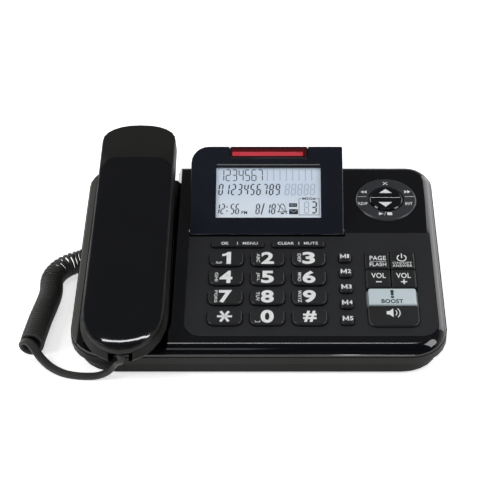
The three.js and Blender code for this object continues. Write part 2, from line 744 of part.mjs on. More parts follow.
// The two sockets in the back wall, with the outer size of their housings.
function backSockets() {
  const lineHalf = LINE_SOCKET_WIDTH / 2 + SOCKET_WALL;
  const lineRise = LINE_SOCKET_HEIGHT / 2 + SOCKET_WALL;
  const powerHalf = POWER_SOCKET_BORE / 2 + SOCKET_WALL;
  return [[LINE_SOCKET_ACROSS, lineHalf, lineRise], [POWER_SOCKET_ACROSS, powerHalf, powerHalf]].map(
    ([x, half, rise]) => ({
      left: x - half,
      right: x + half,
      bottom: SOCKET_HEIGHT - rise,
      top: SOCKET_HEIGHT + rise,
    }),
  );
}

// Middle frame: a plain band all round, open at the back where the cradle runs out.
function middleFrame() {
  const band = stack([[baseOutline(0), EDGE_LIP], [baseOutline(EDGE_LIP), FRAME_RISE - EDGE_LIP]]);
  const inside = stack([[baseOutline(FRAME_WALL), -OVERRUN], [baseOutline(FRAME_WALL), OVERRUN]]);
  return cut(band, inside, block(
    CRADLE.left - SEAM, CRADLE_RIGHT + CRADLE_LINER + SEAM,
    BASE_DEPTH / 2, BASE_DEPTH + OVERRUN,
    -OVERRUN, OVERRUN,
  ));
}

// A slanted trough: wider at the deck than at its floor, on its right side only.
function cradleTrough(box, radii, bottom, top) {
  const slant = (CRADLE_SLANT * (top - bottom)) / (DECK_RISE - CRADLE_FLOOR_RISE);
  const wide = { ...box, right: box.right + slant };
  return stack([
    [roundedRect(box, 0, radii, SHELL_CORNER_STEPS), bottom],
    [roundedRect(wide, 0, radii, SHELL_CORNER_STEPS), top],
  ]);
}

function topCover() {
  const radii = [CRADLE_RADIUS, CRADLE_RADIUS, SEAM, SEAM];
  const shell = cut(
    stack(coverLayers(0, 0)),
    common(
      stack([
        [baseOutline(COVER_STEP + WALL), -OVERRUN],
        [baseOutline(COVER_STEP + WALL), FRAME_RISE],
        [baseOutline(COVER_STEP + WALL + COVER_EDGE), DECK_RISE],
      ]),
      block(-BASE_WIDTH, BASE_WIDTH, -BASE_DEPTH, 2 * BASE_DEPTH, -OVERRUN, DECK_UNDERSIDE),
    ),
  );
  const inset = FRAME_WALL + SEAM;
  const cradleLiner = common(
    stack([[baseOutline(inset), CRADLE_FLOOR_UNDERSIDE], [baseOutline(inset), DECK_UNDERSIDE + SEAM]]),
    block(-BASE_WIDTH, CRADLE_RIGHT + CRADLE_LINER, 0, BASE_DEPTH, 0, DECK_RISE),
  );
  const cradleTail = common(
    stack([[baseOutline(COVER_STEP), CRADLE_FLOOR_UNDERSIDE], [baseOutline(COVER_STEP), CRADLE_FLOOR_RISE]]),
    block(CRADLE.left, CRADLE_RIGHT + CRADLE_LINER, BASE_DEPTH / 2, BASE_DEPTH, 0, DECK_RISE),
  );
  const wellLiner = common(
    block(
      WELL.left - CRADLE_LINER, WELL.right + CRADLE_LINER, 0, WELL.back + CRADLE_LINER,
      WELL_RISE - CRADLE_LINER, CRADLE_FLOOR_RISE,
    ),
    stack([[baseOutline(inset), -OVERRUN], [baseOutline(inset), OVERRUN]]),
    fromLevel(stack([[housingLow(WALL + SEAM), -OVERRUN], [housingLow(WALL + SEAM), HOUSING_TOP]])),
  );
  const earLiner = common(earWellBlock(0, EAR_WELL_RISE - CRADLE_LINER, CRADLE_FLOOR_RISE), stack([
    [baseOutline(COVER_STEP), -OVERRUN],
    [baseOutline(COVER_STEP), OVERRUN],
  ]));
  const recessLiner = block(
    RECESS.left - RECESS_LINER, RECESS.right + RECESS_LINER, RECESS.front - RECESS_LINER, BASE_DEPTH - inset,
    RECESS_FLOOR_RISE - RECESS_LINER, DECK_UNDERSIDE + SEAM,
  );
  const columns = screwPlaces().map(([x, y]) => common(
    fromLevel(bar(x, y, COLUMN_DIAMETER, HOUSING_INSIDE + SEAM, HOUSING_TOP)),
    block(-HALF_WIDTH, HALF_WIDTH, 0, BASE_DEPTH, -HOUSING_TOP, RECESS_FLOOR_RISE - RECESS_LINER / 2),
  ));
  const panel = keypadPanelOutline();
  const overlook = block(
    -BASE_WIDTH, CRADLE.right, -OVERRUN, BASE_DEPTH + OVERRUN, CRADLE_LIP_RISE, DECK_RISE + OVERRUN,
  );
  return cut(
    join(shell, cradleLiner, cradleTail, wellLiner, earLiner, recessLiner, ...columns),
    overlook,
    cradleTrough({ ...CRADLE, front: -OVERRUN }, same(SEAM), CRADLE_LIP_RISE, DECK_RISE + OVERRUN),
    cradleTrough(CRADLE, radii, CRADLE_FLOOR_RISE, DECK_RISE + OVERRUN),
    stack([
      [roundedRect(WELL, 0, same(LOBE_RADIUS)), WELL_RISE],
      [roundedRect(WELL, 0, same(LOBE_RADIUS)), OVERRUN],
    ]),
    block(
      EAR_WELL.left, CRADLE.right, EAR_WELL.front, BASE_DEPTH + OVERRUN,
      EAR_WELL_RISE, CRADLE_FLOOR_RISE + SEAM,
    ),
    block(RECESS.left, RECESS.right, RECESS.front, RECESS.back, RECESS_FLOOR_RISE, DECK_RISE + OVERRUN),
    stack([[panel(-SEAM), PANEL_UNDERSIDE - SEAM], [panel(-SEAM), DECK_RISE + OVERRUN]]),
    block(
      PANEL_LEFT + PANEL_LEDGE, PANEL_RIGHT - PANEL_LEDGE,
      PANEL_FRONT + PANEL_LEDGE, RECESS.front - RECESS_LINER,
      BOARD_RISE, DECK_RISE + OVERRUN,
    ),
    bar(NAV_ACROSS, NAV_ALONG, RING_DIAMETER + 2 * KEY_GAP, BOARD_RISE, DECK_RISE + OVERRUN, 2 * ROUND_SIDES),
    crossBar(
      RECESS.left - RECESS_LINER + SEAM, RECESS.right + RECESS_LINER - SEAM,
      HINGE_ALONG, HINGE_RISE, PIN_BORE,
    ),
    block(
      HANDSET_ACROSS - HOOK_WIDTH / 2 - SEAM, HANDSET_ACROSS + HOOK_WIDTH / 2 + SEAM,
      HOOK_ALONG - HOOK_LENGTH / 2 - SEAM, HOOK_ALONG + HOOK_LENGTH / 2 + SEAM, -OVERRUN, OVERRUN,
    ),
    ...grilleSlots(),
    ...screwPlaces().map(([x, y]) => fromLevel(bar(
      x, y, SCREW_SHANK + 2 * SEAM, 0, SCREW_SEAT + SCREW_LENGTH + SEAM,
    ))),
  );
}

const PIN_BORE = PIN_DIAMETER + 2 * SEAM;

// The ear well with its liner: open at the back, where the handset overhangs the base.
function earWellBlock(gap, bottom, top) {
  return block(
    EAR_WELL.left - CRADLE_LINER - gap, CRADLE.right + CRADLE_LINER + gap,
    EAR_WELL.front - CRADLE_LINER - gap, BASE_DEPTH + gap, bottom - gap, top + gap,
  );
}

// A shape drawn in the base's level frame, for use on a piece drawn on the deck.
function fromLevel(geometry) {
  return geometry.clone().applyMatrix4(deck.matrixWorld.clone().invert());
}

function grilleSlots() {
  return Array.from({ length: GRILLE_SLOTS }, (_, i) => {
    const x = HANDSET_ACROSS + (i - (GRILLE_SLOTS - 1) / 2) * GRILLE_PITCH;
    return block(
      x - GRILLE_SLOT_WIDTH / 2, x + GRILLE_SLOT_WIDTH / 2,
      SPEAKER_ALONG - GRILLE_SLOT_LENGTH / 2, SPEAKER_ALONG + GRILLE_SLOT_LENGTH / 2, -OVERRUN, OVERRUN,
    );
  });
}

// Keypad panel: a matte plate in the deck, notched behind for the display.
function keypadPanelOutline() {
  const box = { left: PANEL_LEFT, right: PANEL_RIGHT, front: PANEL_FRONT, back: PANEL_BACK };
  const radii = [PANEL_RADIUS, PANEL_RADIUS, PANEL_BACK_RADIUS, PANEL_BACK_RADIUS];
  return (inset) => roundedRect(box, inset, radii, SHELL_CORNER_STEPS);
}

function keypadPanel() {
  const outline = keypadPanelOutline();
  const plate = stack([[outline(0), PANEL_UNDERSIDE], [outline(0), DECK_RISE]]);
  const clusterHole = roundedRect(CLUSTER, -KEY_GAP, CLUSTER_RADII);
  return cut(
    plate,
    block(
      RECESS.left - SEAM - OVERRUN, RECESS.right + SEAM,
      RECESS.front - SEAM, BASE_DEPTH, 0, DECK_RISE + OVERRUN,
    ),
    stack([[clusterHole, 0], [clusterHole, DECK_RISE + OVERRUN]]),
    ...[...dialKeys, ...memoryKeys, ...rockers].map(keyHole),
  );
}

// Circuit board and mat: one plate under the keypad with a tongue back to the round keys.
function boardPlate(margin, bottom, thickness) {
  const inset = BOARD_MARGIN + margin;
  const main = block(
    PANEL_LEFT + inset, PANEL_RIGHT - inset, PANEL_FRONT + inset, RECESS.front - RECESS_LINER - SEAM - margin,
    bottom, bottom + thickness,
  );
  const tongue = block(
    BOARD_TONGUE_LEFT + margin, PANEL_RIGHT - inset, BASE_DEPTH / 2, BOARD_TONGUE_BACK - margin,
    bottom, bottom + thickness,
  );
  return join(main, tongue);
}

// Round keys: a ring that presses down, and a centre that rocks.
function navRing() {
  const top = DECK_RISE + RING_STAND;
  const outer = RING_DIAMETER / 2;
  const inner = RING_BORE / 2;
  return new THREE.LatheGeometry([
    new THREE.Vector2(inner, NAV_BOTTOM_RISE),
    new THREE.Vector2(outer + RING_FLANGE, NAV_BOTTOM_RISE),
    new THREE.Vector2(outer + RING_FLANGE, DECK_UNDERSIDE - SEAM),
    new THREE.Vector2(outer, DECK_UNDERSIDE - SEAM),
    new THREE.Vector2(outer, top - RING_CROWN),
    new THREE.Vector2(outer - RING_CROWN, top),
    new THREE.Vector2(inner, top),
    new THREE.Vector2(inner, NAV_BOTTOM_RISE),
  ], 2 * ROUND_SIDES).rotateX(QUARTER_TURN).translate(NAV_ACROSS, NAV_ALONG, 0);
}

function navRocker() {
  const top = DECK_RISE + CENTRE_STAND;
  const sides = 2 * ROUND_SIDES;
  return stack([
    [circle(NAV_ACROSS, NAV_ALONG, CENTRE_DIAMETER - 2 * RING_CROWN, sides), NAV_BOTTOM_RISE],
    [circle(NAV_ACROSS, NAV_ALONG, CENTRE_DIAMETER, sides), NAV_BOTTOM_RISE + RING_CROWN],
    [circle(NAV_ACROSS, NAV_ALONG, CENTRE_DIAMETER, sides), top - RING_CROWN],
    [circle(NAV_ACROSS, NAV_ALONG, CENTRE_DIAMETER - 2 * RING_CROWN, sides), top],
  ]);
}

// Display, drawn in its own frame: the hinge runs along X, its face is up

const DISPLAY_BOX = {
  left: DISPLAY_LEFT,
  right: DISPLAY_RIGHT,
  front: -DISPLAY_LIP,
  back: DISPLAY_LENGTH - DISPLAY_LIP,
};
const DISPLAY_RADII = [DISPLAY_CORNER, DISPLAY_CORNER, DISPLAY_CORNER, DISPLAY_RADIUS];
const LIGHT_FRONT = DISPLAY_BOX.back - LIGHT_LENGTH;

function displayOutline(inset) {
  return roundedRect(DISPLAY_BOX, inset, DISPLAY_RADII, SHELL_CORNER_STEPS);
}

function displayBore() {
  return crossBar(DISPLAY_LEFT - OVERRUN, DISPLAY_RIGHT + OVERRUN, 0, 0, PIN_BORE);
}

function displayBezel() {
  const shell = stack([
    [displayOutline(0), EDGE_LIP],
    [displayOutline(0), DISPLAY_HALF - DISPLAY_BEVEL],
    [displayOutline(DISPLAY_BEVEL), DISPLAY_HALF],
  ]);
  const inside = block(
    DISPLAY_LEFT + WALL, DISPLAY_RIGHT - WALL, PIN_BORE / 2 + DISPLAY_SKIN, LIGHT_FRONT - SEAM - DISPLAY_SKIN,
    -OVERRUN, DISPLAY_HALF - DISPLAY_SKIN,
  );
  const roundedInside = common(inside, stack([
    [displayOutline(WALL), -OVERRUN],
    [displayOutline(WALL), OVERRUN],
  ]));
  return cut(
    shell,
    roundedInside,
    block(
      WINDOW_LEFT - SEAM, WINDOW_RIGHT + SEAM, WINDOW_FRONT - SEAM, WINDOW_BACK + SEAM, 0, OVERRUN,
    ),
    block(
      LIGHT_LEFT - SEAM, LIGHT_RIGHT + SEAM, LIGHT_FRONT - SEAM, DISPLAY_BOX.back + OVERRUN,
      DISPLAY_HALF - LIGHT_DEPTH - SEAM, OVERRUN,
    ),
    displayBore(),
  );
}

function displayBack() {
  const shell = stack([
    [displayOutline(DISPLAY_BEVEL), -DISPLAY_HALF],
    [displayOutline(0), DISPLAY_BEVEL - DISPLAY_HALF],
    [displayOutline(0), -EDGE_LIP],
  ]);
  const knuckle = crossBar(DISPLAY_LEFT, DISPLAY_RIGHT, 0, 0, 2 * DISPLAY_LIP, ROUND_SIDES);
  const behind = block(DISPLAY_LEFT, DISPLAY_RIGHT, 0, DISPLAY_LENGTH, -OVERRUN, 0);
  return cut(common(shell, join(knuckle, behind)), displayBore());
}

function lcdWindow() {
  const top = DISPLAY_HALF - DISPLAY_BEVEL / 2;
  return block(WINDOW_LEFT, WINDOW_RIGHT, WINDOW_FRONT, WINDOW_BACK, top - WINDOW_THICKNESS, top);
}

function lcdModule() {
  return block(
    WINDOW_LEFT - MODULE_MARGIN, WINDOW_RIGHT + MODULE_MARGIN,
    WINDOW_FRONT - MODULE_MARGIN, WINDOW_BACK + MODULE_MARGIN,
    MODULE_TOP - MODULE_THICKNESS + DISPLAY_SKIN, MODULE_TOP,
  );
}

const MODULE_TOP = DISPLAY_HALF - DISPLAY_BEVEL / 2 - WINDOW_THICKNESS - SEAM;

function ringerLight() {
  const box = { left: LIGHT_LEFT, right: LIGHT_RIGHT, front: LIGHT_FRONT, back: DISPLAY_BOX.back };
  return stack([
    [roundedRect(box, 0, same(CORNER)), DISPLAY_HALF - LIGHT_DEPTH],
    [roundedRect(box, 0, same(CORNER)), DISPLAY_HALF - DISPLAY_BEVEL],
    [roundedRect(box, DISPLAY_BEVEL, same(CORNER)), DISPLAY_HALF],
  ]);
}

// Handset, drawn in its own frame

const RIM_STEP = 0.5;
const MOUTH_BOTTOM = WELL_RISE + SEAM;
const EAR_BOTTOM = EAR_WELL_RISE + SEAM;

// A shape drawn on the deck under the handset, for use in the handset's own frame.
function underHandset(shape) {
  const geometry = asGeometry(shape).clone();
  return geometry.translate(HANDSET_ACROSS, HANDSET_ALONG, 0).applyMatrix4(handset.matrix.clone().invert());
}

function handsetCrown(outset) {
  return stack([
    [handsetOutline(RIM_WIDTH + outset), RIM_UP - OVERRUN],
    [handsetOutline(RIM_WIDTH + outset), RIM_UP + RIM_STEP],
    [handsetOutline(RIM_WIDTH + CROWN_WIDTH / 3 + outset), (RIM_UP + 2 * HANDSET_TOP) / 3],
    [handsetOutline(RIM_WIDTH + CROWN_WIDTH + outset), HANDSET_TOP],
  ]);
}

// The inlay's field: the crown in front of the ear cap, with two round corners behind.
function inlayField(outset) {
  const box = {
    left: -HANDSET_WIDTH,
    right: HANDSET_WIDTH,
    front: -HANDSET_LENGTH,
    back: INLAY_LENGTH + outset,
  };
  const half = HANDSET_WIDTH / 2 - RIM_WIDTH - SEAM + outset;
  const rounded = { ...box, left: -half, right: half };
  return stack([
    [roundedRect(rounded, 0, same(INLAY_RADIUS), SHELL_CORNER_STEPS), RIM_UP + SEAM - outset],
    [roundedRect(rounded, 0, same(INLAY_RADIUS), SHELL_CORNER_STEPS), OVERRUN],
  ]);
}

function handsetTopShell() {
  const body = join(
    stack([
      [handsetOutline(0), EDGE_LIP],
      [handsetOutline(SEAM), RIM_UP - RIM_STEP],
      [handsetOutline(RIM_WIDTH), RIM_UP],
    ]),
    common(handsetCrown(0), block(
      -HANDSET_WIDTH, HANDSET_WIDTH, 0, HANDSET_LENGTH, RIM_UP / 2, OVERRUN,
    )),
  );
  const capCut = block(-HANDSET_WIDTH, HANDSET_WIDTH, 0, HANDSET_LENGTH, 0, OVERRUN);
  capCut.rotateX(-CAP_DROP).translate(0, INLAY_LENGTH, HANDSET_TOP);
  const inside = stack([
    [handsetOutline(WALL), -OVERRUN],
    [handsetOutline(WALL), RIM_UP - WALL],
  ]);
  return cut(body, inlayField(SEAM), capCut, inside);
}

function handsetInlay() {
  return common(handsetCrown(SEAM), inlayField(0));
}

function lobe(front, back, width, bottom) {
  const box = { left: -width / 2, right: width / 2, front, back };
  const radii = same(Math.min(LOBE_RADIUS, width / 2 - LOBE_TAPER));
  const top = HANDSET_RISE + front * Math.sin(HANDSET_TILT) - GRIP_DEPTH / 3;
  return underHandset(stack([
    [roundedRect(box, LOBE_TAPER + LOBE_ROUND, radii, SHELL_CORNER_STEPS), bottom],
    [roundedRect(box, LOBE_TAPER, radii, SHELL_CORNER_STEPS), bottom + LOBE_ROUND],
    [roundedRect(box, 0, radii, SHELL_CORNER_STEPS), top],
  ]));
}

// A round space in a lobe, from above its floor up into the shell.
function lobeSpace(along, diameter, floor) {
  return underHandset(bar(0, along, diameter + 2 * SEAM, floor + WALL, HANDSET_RISE + OVERRUN, ROUND_SIDES));
}

function soundHole(across, along, floor) {
  return underHandset(bar(across, along, SOUND_HOLE, floor - OVERRUN, floor + OVERRUN / 2, CORD_SIDES));
}

function handsetBottomShell() {
  const band = stack([
    ...BAND_DEPTH_SHARES.map((share, i) => [
      flaredOutline(BAND_OUT_SHARES[i] * FLARE),
      -share * GRIP_DEPTH,
    ]).reverse(),
    [handsetOutline(0), -EDGE_LIP],
  ]);
  const inside = stack([
    [handsetOutline(GRIP_TUCK + WALL), WALL - GRIP_DEPTH],
    [handsetOutline(WALL), -GRIP_DEPTH / 2],
    [handsetOutline(WALL), OVERRUN],
  ]);
  return cut(
    join(
      band,
      lobe(MOUTH_LOBE_FRONT, MOUTH_LOBE_BACK, MOUTH_LOBE_WIDTH, MOUTH_BOTTOM),
      lobe(EAR_LOBE_FRONT, EAR_LOBE_BACK, EAR_LOBE_WIDTH, EAR_BOTTOM),
    ),
    inside,
    lobeSpace(MICROPHONE_ALONG, MICROPHONE_DIAMETER, MOUTH_BOTTOM),
    lobeSpace(CAPSULE_ALONG, CAPSULE_DIAMETER, EAR_BOTTOM),
    soundHole(0, MICROPHONE_ALONG, MOUTH_BOTTOM),
    ...Array.from({ length: SOUND_HOLES }, (_, i) => {
      const angle = (TURN * i) / SOUND_HOLES;
      const along = CAPSULE_ALONG + SOUND_RING * Math.sin(angle);
      return soundHole(SOUND_RING * Math.cos(angle), along, EAR_BOTTOM);
    }),
    block(
      -NOTCH_WIDTH / 2, NOTCH_WIDTH / 2, -OVERRUN, PLUG_GRIP + SEAM,
      -PLUG_DROP - PLUG_HEIGHT / 2 - PLUG_BEVEL, OVERRUN,
    ),
    block(
      -LEAD_SLOT_WIDTH / 2, LEAD_SLOT_WIDTH / 2, -OVERRUN, PLUG_SETBACK + SEAM,
      -OVERRUN, -PLUG_DROP,
    ),
    block(
      -CORD_SOCKET_HALF - SEAM, CORD_SOCKET_HALF + SEAM, 0, PLUG_GRIP + SOCKET_LENGTH + 2 * SEAM,
      -PLUG_DROP - SOCKET_FLOOR - SEAM, OVERRUN,
    ),
  );
}

const MICROPHONE_ALONG = (MOUTH_LOBE_FRONT + 2 * MOUTH_LOBE_BACK) / 3;
const CAPSULE_ALONG = (EAR_LOBE_FRONT + EAR_LOBE_BACK) / 2;
const SOCKET_LENGTH = PLUG_LENGTH - PLUG_GRIP + PLUG_SETBACK + SEAM + SOCKET_END;
const SOCKET_FLOOR = PLUG_HEIGHT / 2 + SOCKET_END / 2;

// A socket for the cord's plug, drawn with its mouth at the origin and its depth along +Y.
function cordSocket(rise) {
  const half = PLUG_WIDTH / 2;
  return cut(
    block(-CORD_SOCKET_HALF, CORD_SOCKET_HALF, 0, SOCKET_LENGTH, -rise, rise),
    block(
      -half - SEAM, half + SEAM, -OVERRUN, SOCKET_LENGTH - SOCKET_END,
      -half / 2 - SEAM * 2, half / 2 + SEAM * 2,
    ),
  );
}

// A clear plug with a latch on top, its cord end at the origin and its nose along +Y.
function cordPlug() {
  const body = keyBox(-PLUG_WIDTH / 2, 0, PLUG_WIDTH, PLUG_LENGTH);
  const half = PLUG_HEIGHT / 2;
  return stack([
    [roundedRect(body, PLUG_BEVEL, same(PLUG_BEVEL)), -half],
    [roundedRect(body, 0, same(PLUG_BEVEL)), PLUG_BEVEL - half],
    [roundedRect(body, 0, same(PLUG_BEVEL)), half - PLUG_BEVEL],
    [roundedRect(body, PLUG_BEVEL, same(PLUG_BEVEL)), half],
  ]);
}

// Cord

// A tube through places, with a section that keeps one side flat to the table.
function tubeThrough(places, width, height, sides) {
  const up = new THREE.Vector3(0, 0, 1);
  const rings = places.map((point, i) => {
    const next = places[Math.min(i + 1, places.length - 1)];
    const last = places[Math.max(i - 1, 0)];
    const forward = next.clone().sub(last).normalize();
    const side = forward.clone().cross(up).normalize();
    const over = side.clone().cross(forward).normalize();
    return Array.from({ length: sides }, (_, k) => {
      const angle = (TURN * (k + 1 / 2)) / sides;
      return point.clone()
        .addScaledVector(side, (width / 2) * Math.cos(angle))
        .addScaledVector(over, (height / 2) * Math.sin(angle));
    });
  });
  return rings;
}

// A closed skin round a bent tube: fans at both ends, since its rings lie in any plane.
function tubeSkin(rings) {
  const count = rings[0].length;
  const index = [];
  for (let ring = 0; ring < rings.length - 1; ring++) {
    for (let i = 0; i < count; i++) {
      const a = ring * count + i;
      const b = ring * count + ((i + 1) % count);
      index.push(a, b + count, b, a, a + count, b + count);
    }
  }
  const last = (rings.length - 1) * count;
  for (let i = 1; i < count - 1; i++) {
    index.push(0, i, i + 1, last, last + i + 1, last + i);
  }
  const geometry = new THREE.BufferGeometry();
  const places = rings.flat().flatMap((point) => [point.x, point.y, point.z]);
  geometry.setAttribute('position', new THREE.Float32BufferAttribute(places, 3));
  geometry.setIndex(index);
  return geometry;
}

// Routes of the cord. Each place is given by how far it lies to the left of the base's left
// side, how far behind the base's front, and how high above the table.
function besideBase([out, along, height]) {
  return new THREE.Vector3(-HALF_WIDTH - out, along, height);
}

// The straight lead, from the handset's plug down to the table and up to the coil's front end.
const LEAD_ROUTE = [
  [-34.1, -10.6, 20.4], [-33.2, -9.3, 17.3], [-32.0, -6.1, 14.4], [-30.1, -4.0, 11.0], [-26.3, -3.2, 6.4],
  [-22.1, -3.0, 3.7], [-17.5, -2.9, 2.1], [-12.1, -2.7, 1.6], [-5.8, -2.1, 1.5], [2.0, 0.0, 1.5],
  [8.0, 3.4, 1.6], [13.0, 7.4, 2.0], [16.8, 10.8, 3.3], [19.8, 13.6, 5.2],
];
// The cord's first bend, where it turns over at the coil's front end.
const BEND_ROUTE = [[22.6, 15.7, 8.6], [25.0, 17.2, 11.6], [27.9, 18.7, 12.6], [30.8, 20.2, 11.3]];
// The coil's middle line on the table, from its front end round to the bay in the side wall.
const COIL_ROUTE = [
  [25.5, 21.7], [24.9, 31.7], [24.3, 39.2], [23.4, 50], [21.9, 62], [20.7, 74.9], [20.8, 82],
  [21.5, 88], [21.8, 93], [20.9, 98.7], [18.3, 105], [14.2, 110.4], [9.6, 114.1], [5.6, 116.3],
  [2.2, 118.6], [-0.9, 121.2], [-3.4, 122.7], [-5, 123], [-6.4, 123],
];
// Where round its middle line the coil starts: at its left side, a little below the middle.
const COIL_START = THREE.MathUtils.degToRad(185);

function coilAxis() {
  const places = COIL_ROUTE.map(([out, along]) => besideBase([out, along, COIL_HEIGHT]));
  return new THREE.CatmullRomCurve3(places, false, 'centripetal');
}

// The curly cord's middle line. The pitch opens on bends, so that the inner side of each
// curl stays clear of the next. The last strand leaves the coil in a gentle bend to the plug.
function curlyLine() {
  const axis = coilAxis();
  const length = axis.getLength();
  const radius = (COIL_DIAMETER - CORD_DIAMETER) / 2;
  const up = new THREE.Vector3(0, 0, 1);
  const round = (distance, angle, out) => {
    const left = up.clone().cross(axis.getTangentAt(distance / length)).normalize();
    return axis.getPointAt(distance / length)
      .addScaledVector(left, -out * Math.cos(angle))
      .addScaledVector(up, out * Math.sin(angle));
  };
  const places = BEND_ROUTE.map(besideBase);
  let along = 0;
  let angle = COIL_START;
  while (along < length - CLOSING_LENGTH) {
    places.push(round(along, angle, radius));
    const forward = axis.getTangentAt(along / length);
    const ahead = axis.getTangentAt(Math.min(1, (along + COIL_PITCH) / length));
    const curve = forward.angleTo(ahead) / COIL_PITCH;
    angle += TURN / CURL_STEPS;
    along += COIL_PITCH / (1 - curve * radius) / CURL_STEPS;
  }
  const reach = length - CORD_DIAMETER / 2 - along;
  const wound = COIL_PITCH * CLOSING_TURN;
  for (let step = 0; step <= CURL_STEPS; step++) {
    const share = step / CURL_STEPS;
    places.push(round(
      along + wound * share + (reach - wound) * share * share,
      angle + TURN * CLOSING_TURN * share,
      radius * (1 - THREE.MathUtils.smoothstep(share, 0, 1)),
    ));
  }
  places.push(axis.getPointAt(1));
  return places;
}

// Rings that turn with the cord, so that the tube doesn't twist as it coils.
function steadyRings(places, diameter, sides) {
  let side = new THREE.Vector3(0, 1, 0);
  return places.map((point, i) => {
    const next = places[Math.min(i + 1, places.length - 1)];
    const last = places[Math.max(i - 1, 0)];
    const forward = next.clone().sub(last).normalize();
    side = side.clone().addScaledVector(forward, -side.dot(forward)).normalize();
    const over = forward.clone().cross(side);
    return Array.from({ length: sides }, (_, k) => {
      const angle = (TURN * k) / sides;
      return point.clone()
        .addScaledVector(side, -(diameter / 2) * Math.cos(angle))
        .addScaledVector(over, (diameter / 2) * Math.sin(angle));
    });
  });
}

// The least gap between turns of a tube, measured between the points of rings half a turn
// or more apart along it.
function leastGap(rings) {
  const apart = CURL_STEPS / 2;
  let least = Infinity;
  rings.forEach((ring, i) => {
    for (let j = i + apart; j < Math.min(rings.length, i + 3 * CURL_STEPS); j++) {
      ring.forEach((a) => rings[j].forEach((b) => {
        least = Math.min(least, a.distanceTo(b));
      }));
    }
  });
  return least;
}

// Assembly: base shells

place(phone, 'bottom_housing', bottomHousing(), matteShell);
place(deck, 'middle_frame', middleFrame(), matteShell);
place(deck, 'top_cover', topCover(), glossyBlack);
place(deck, 'keypad_panel', keypadPanel(), mattePanel);

// Assembly: keys
panelKeys.forEach((key) => place(deck, key.name, keyShape(key), key.finish));
place(deck, 'nav_ring', navRing(), mattePanel);
place(deck, 'nav_rocker', navRocker(), keyBlack);

// Assembly: inside the base
place(deck, 'circuit_board', boardPlate(0, BOARD_RISE, BOARD_THICKNESS), boardGreen);
place(deck, 'keypad_mat', boardPlate(MAT_MARGIN, BOARD_RISE + BOARD_THICKNESS + SEAM, MAT_THICKNESS), rubber);

function baseSpeaker() {
  const top = CRADLE_FLOOR_UNDERSIDE - SEAM;
  const rim = SPEAKER_DIAMETER / 2;
  const magnet = MAGNET_DIAMETER / 2;
  return new THREE.LatheGeometry([
    new THREE.Vector2(0, top - SPEAKER_DEPTH),
    new THREE.Vector2(magnet, top - SPEAKER_DEPTH),
    new THREE.Vector2(magnet, top - SPEAKER_DEPTH / 2),
    new THREE.Vector2(rim, top - SPEAKER_RIM),
    new THREE.Vector2(rim, top),
    new THREE.Vector2(0, top),
  ], ROUND_SIDES).rotateX(QUARTER_TURN).translate(HANDSET_ACROSS, SPEAKER_ALONG, 0);
}

function hookSwitch() {
  const x = HANDSET_ACROSS;
  const halfWidth = HOOK_WIDTH / 2;
  const halfLength = HOOK_LENGTH / 2;
  const top = EAR_WELL_RISE;
  const flangeTop = EAR_WELL_RISE - CRADLE_LINER - SEAM - HOOK_TRAVEL;
  return join(
    block(
      x - halfWidth, x + halfWidth, HOOK_ALONG - halfLength, HOOK_ALONG + halfLength,
      top - HOOK_DEPTH, top,
    ),
    block(
      x - halfWidth - HOOK_FLANGE, x + halfWidth + HOOK_FLANGE,
      HOOK_ALONG - halfLength - HOOK_FLANGE, HOOK_ALONG + halfLength + HOOK_FLANGE,
      flangeTop - HOOK_FLANGE_THICKNESS, flangeTop,
    ),
  );
}

place(deck, 'base_speaker', baseSpeaker(), steel);
place(deck, 'hook_switch', hookSwitch(), matteShell);

// Assembly: display
place(display, 'display_bezel', displayBezel(), slateBlack);
place(display, 'display_back_cover', displayBack(), matteShell);
place(display, 'lcd_window', lcdWindow(), clearGlass);
place(display, 'lcd_module', lcdModule(), screenBlue);
place(display, 'ringer_light', ringerLight(), redLens);
place(deck, 'display_hinge_pin', crossBar(
  RECESS.left - RECESS_LINER + 2 * SEAM, RECESS.right + RECESS_LINER - 2 * SEAM,
  HINGE_ALONG, HINGE_RISE, PIN_DIAMETER,
), steel);

// Assembly: handset
place(handset, 'handset_top_shell', handsetTopShell(), matteShell);
place(handset, 'handset_inlay', handsetInlay(), glossyBlack);
place(handset, 'handset_bottom_shell', handsetBottomShell(), matteShell);

function capsule(along, diameter, floor, depth) {
  return underHandset(bar(0, along, diameter, floor + WALL + SEAM, floor + WALL + SEAM + depth, ROUND_SIDES));
}

place(handset, 'receiver_capsule', capsule(
  CAPSULE_ALONG, CAPSULE_DIAMETER, EAR_BOTTOM, CAPSULE_DEPTH,
), steel);
place(handset, 'microphone', capsule(
  MICROPHONE_ALONG, MICROPHONE_DIAMETER, MOUTH_BOTTOM, MICROPHONE_DEPTH,
), steel);
const handsetSocket = place(handset, 'handset_cord_jack', cordSocket(SOCKET_FLOOR), keyBlack);
handsetSocket.position.set(0, PLUG_GRIP + SEAM, -PLUG_DROP);
const handsetPlug = place(handset, 'handset_plug', cordPlug(), clearPlug);
handsetPlug.position.set(0, PLUG_SETBACK, -PLUG_DROP);

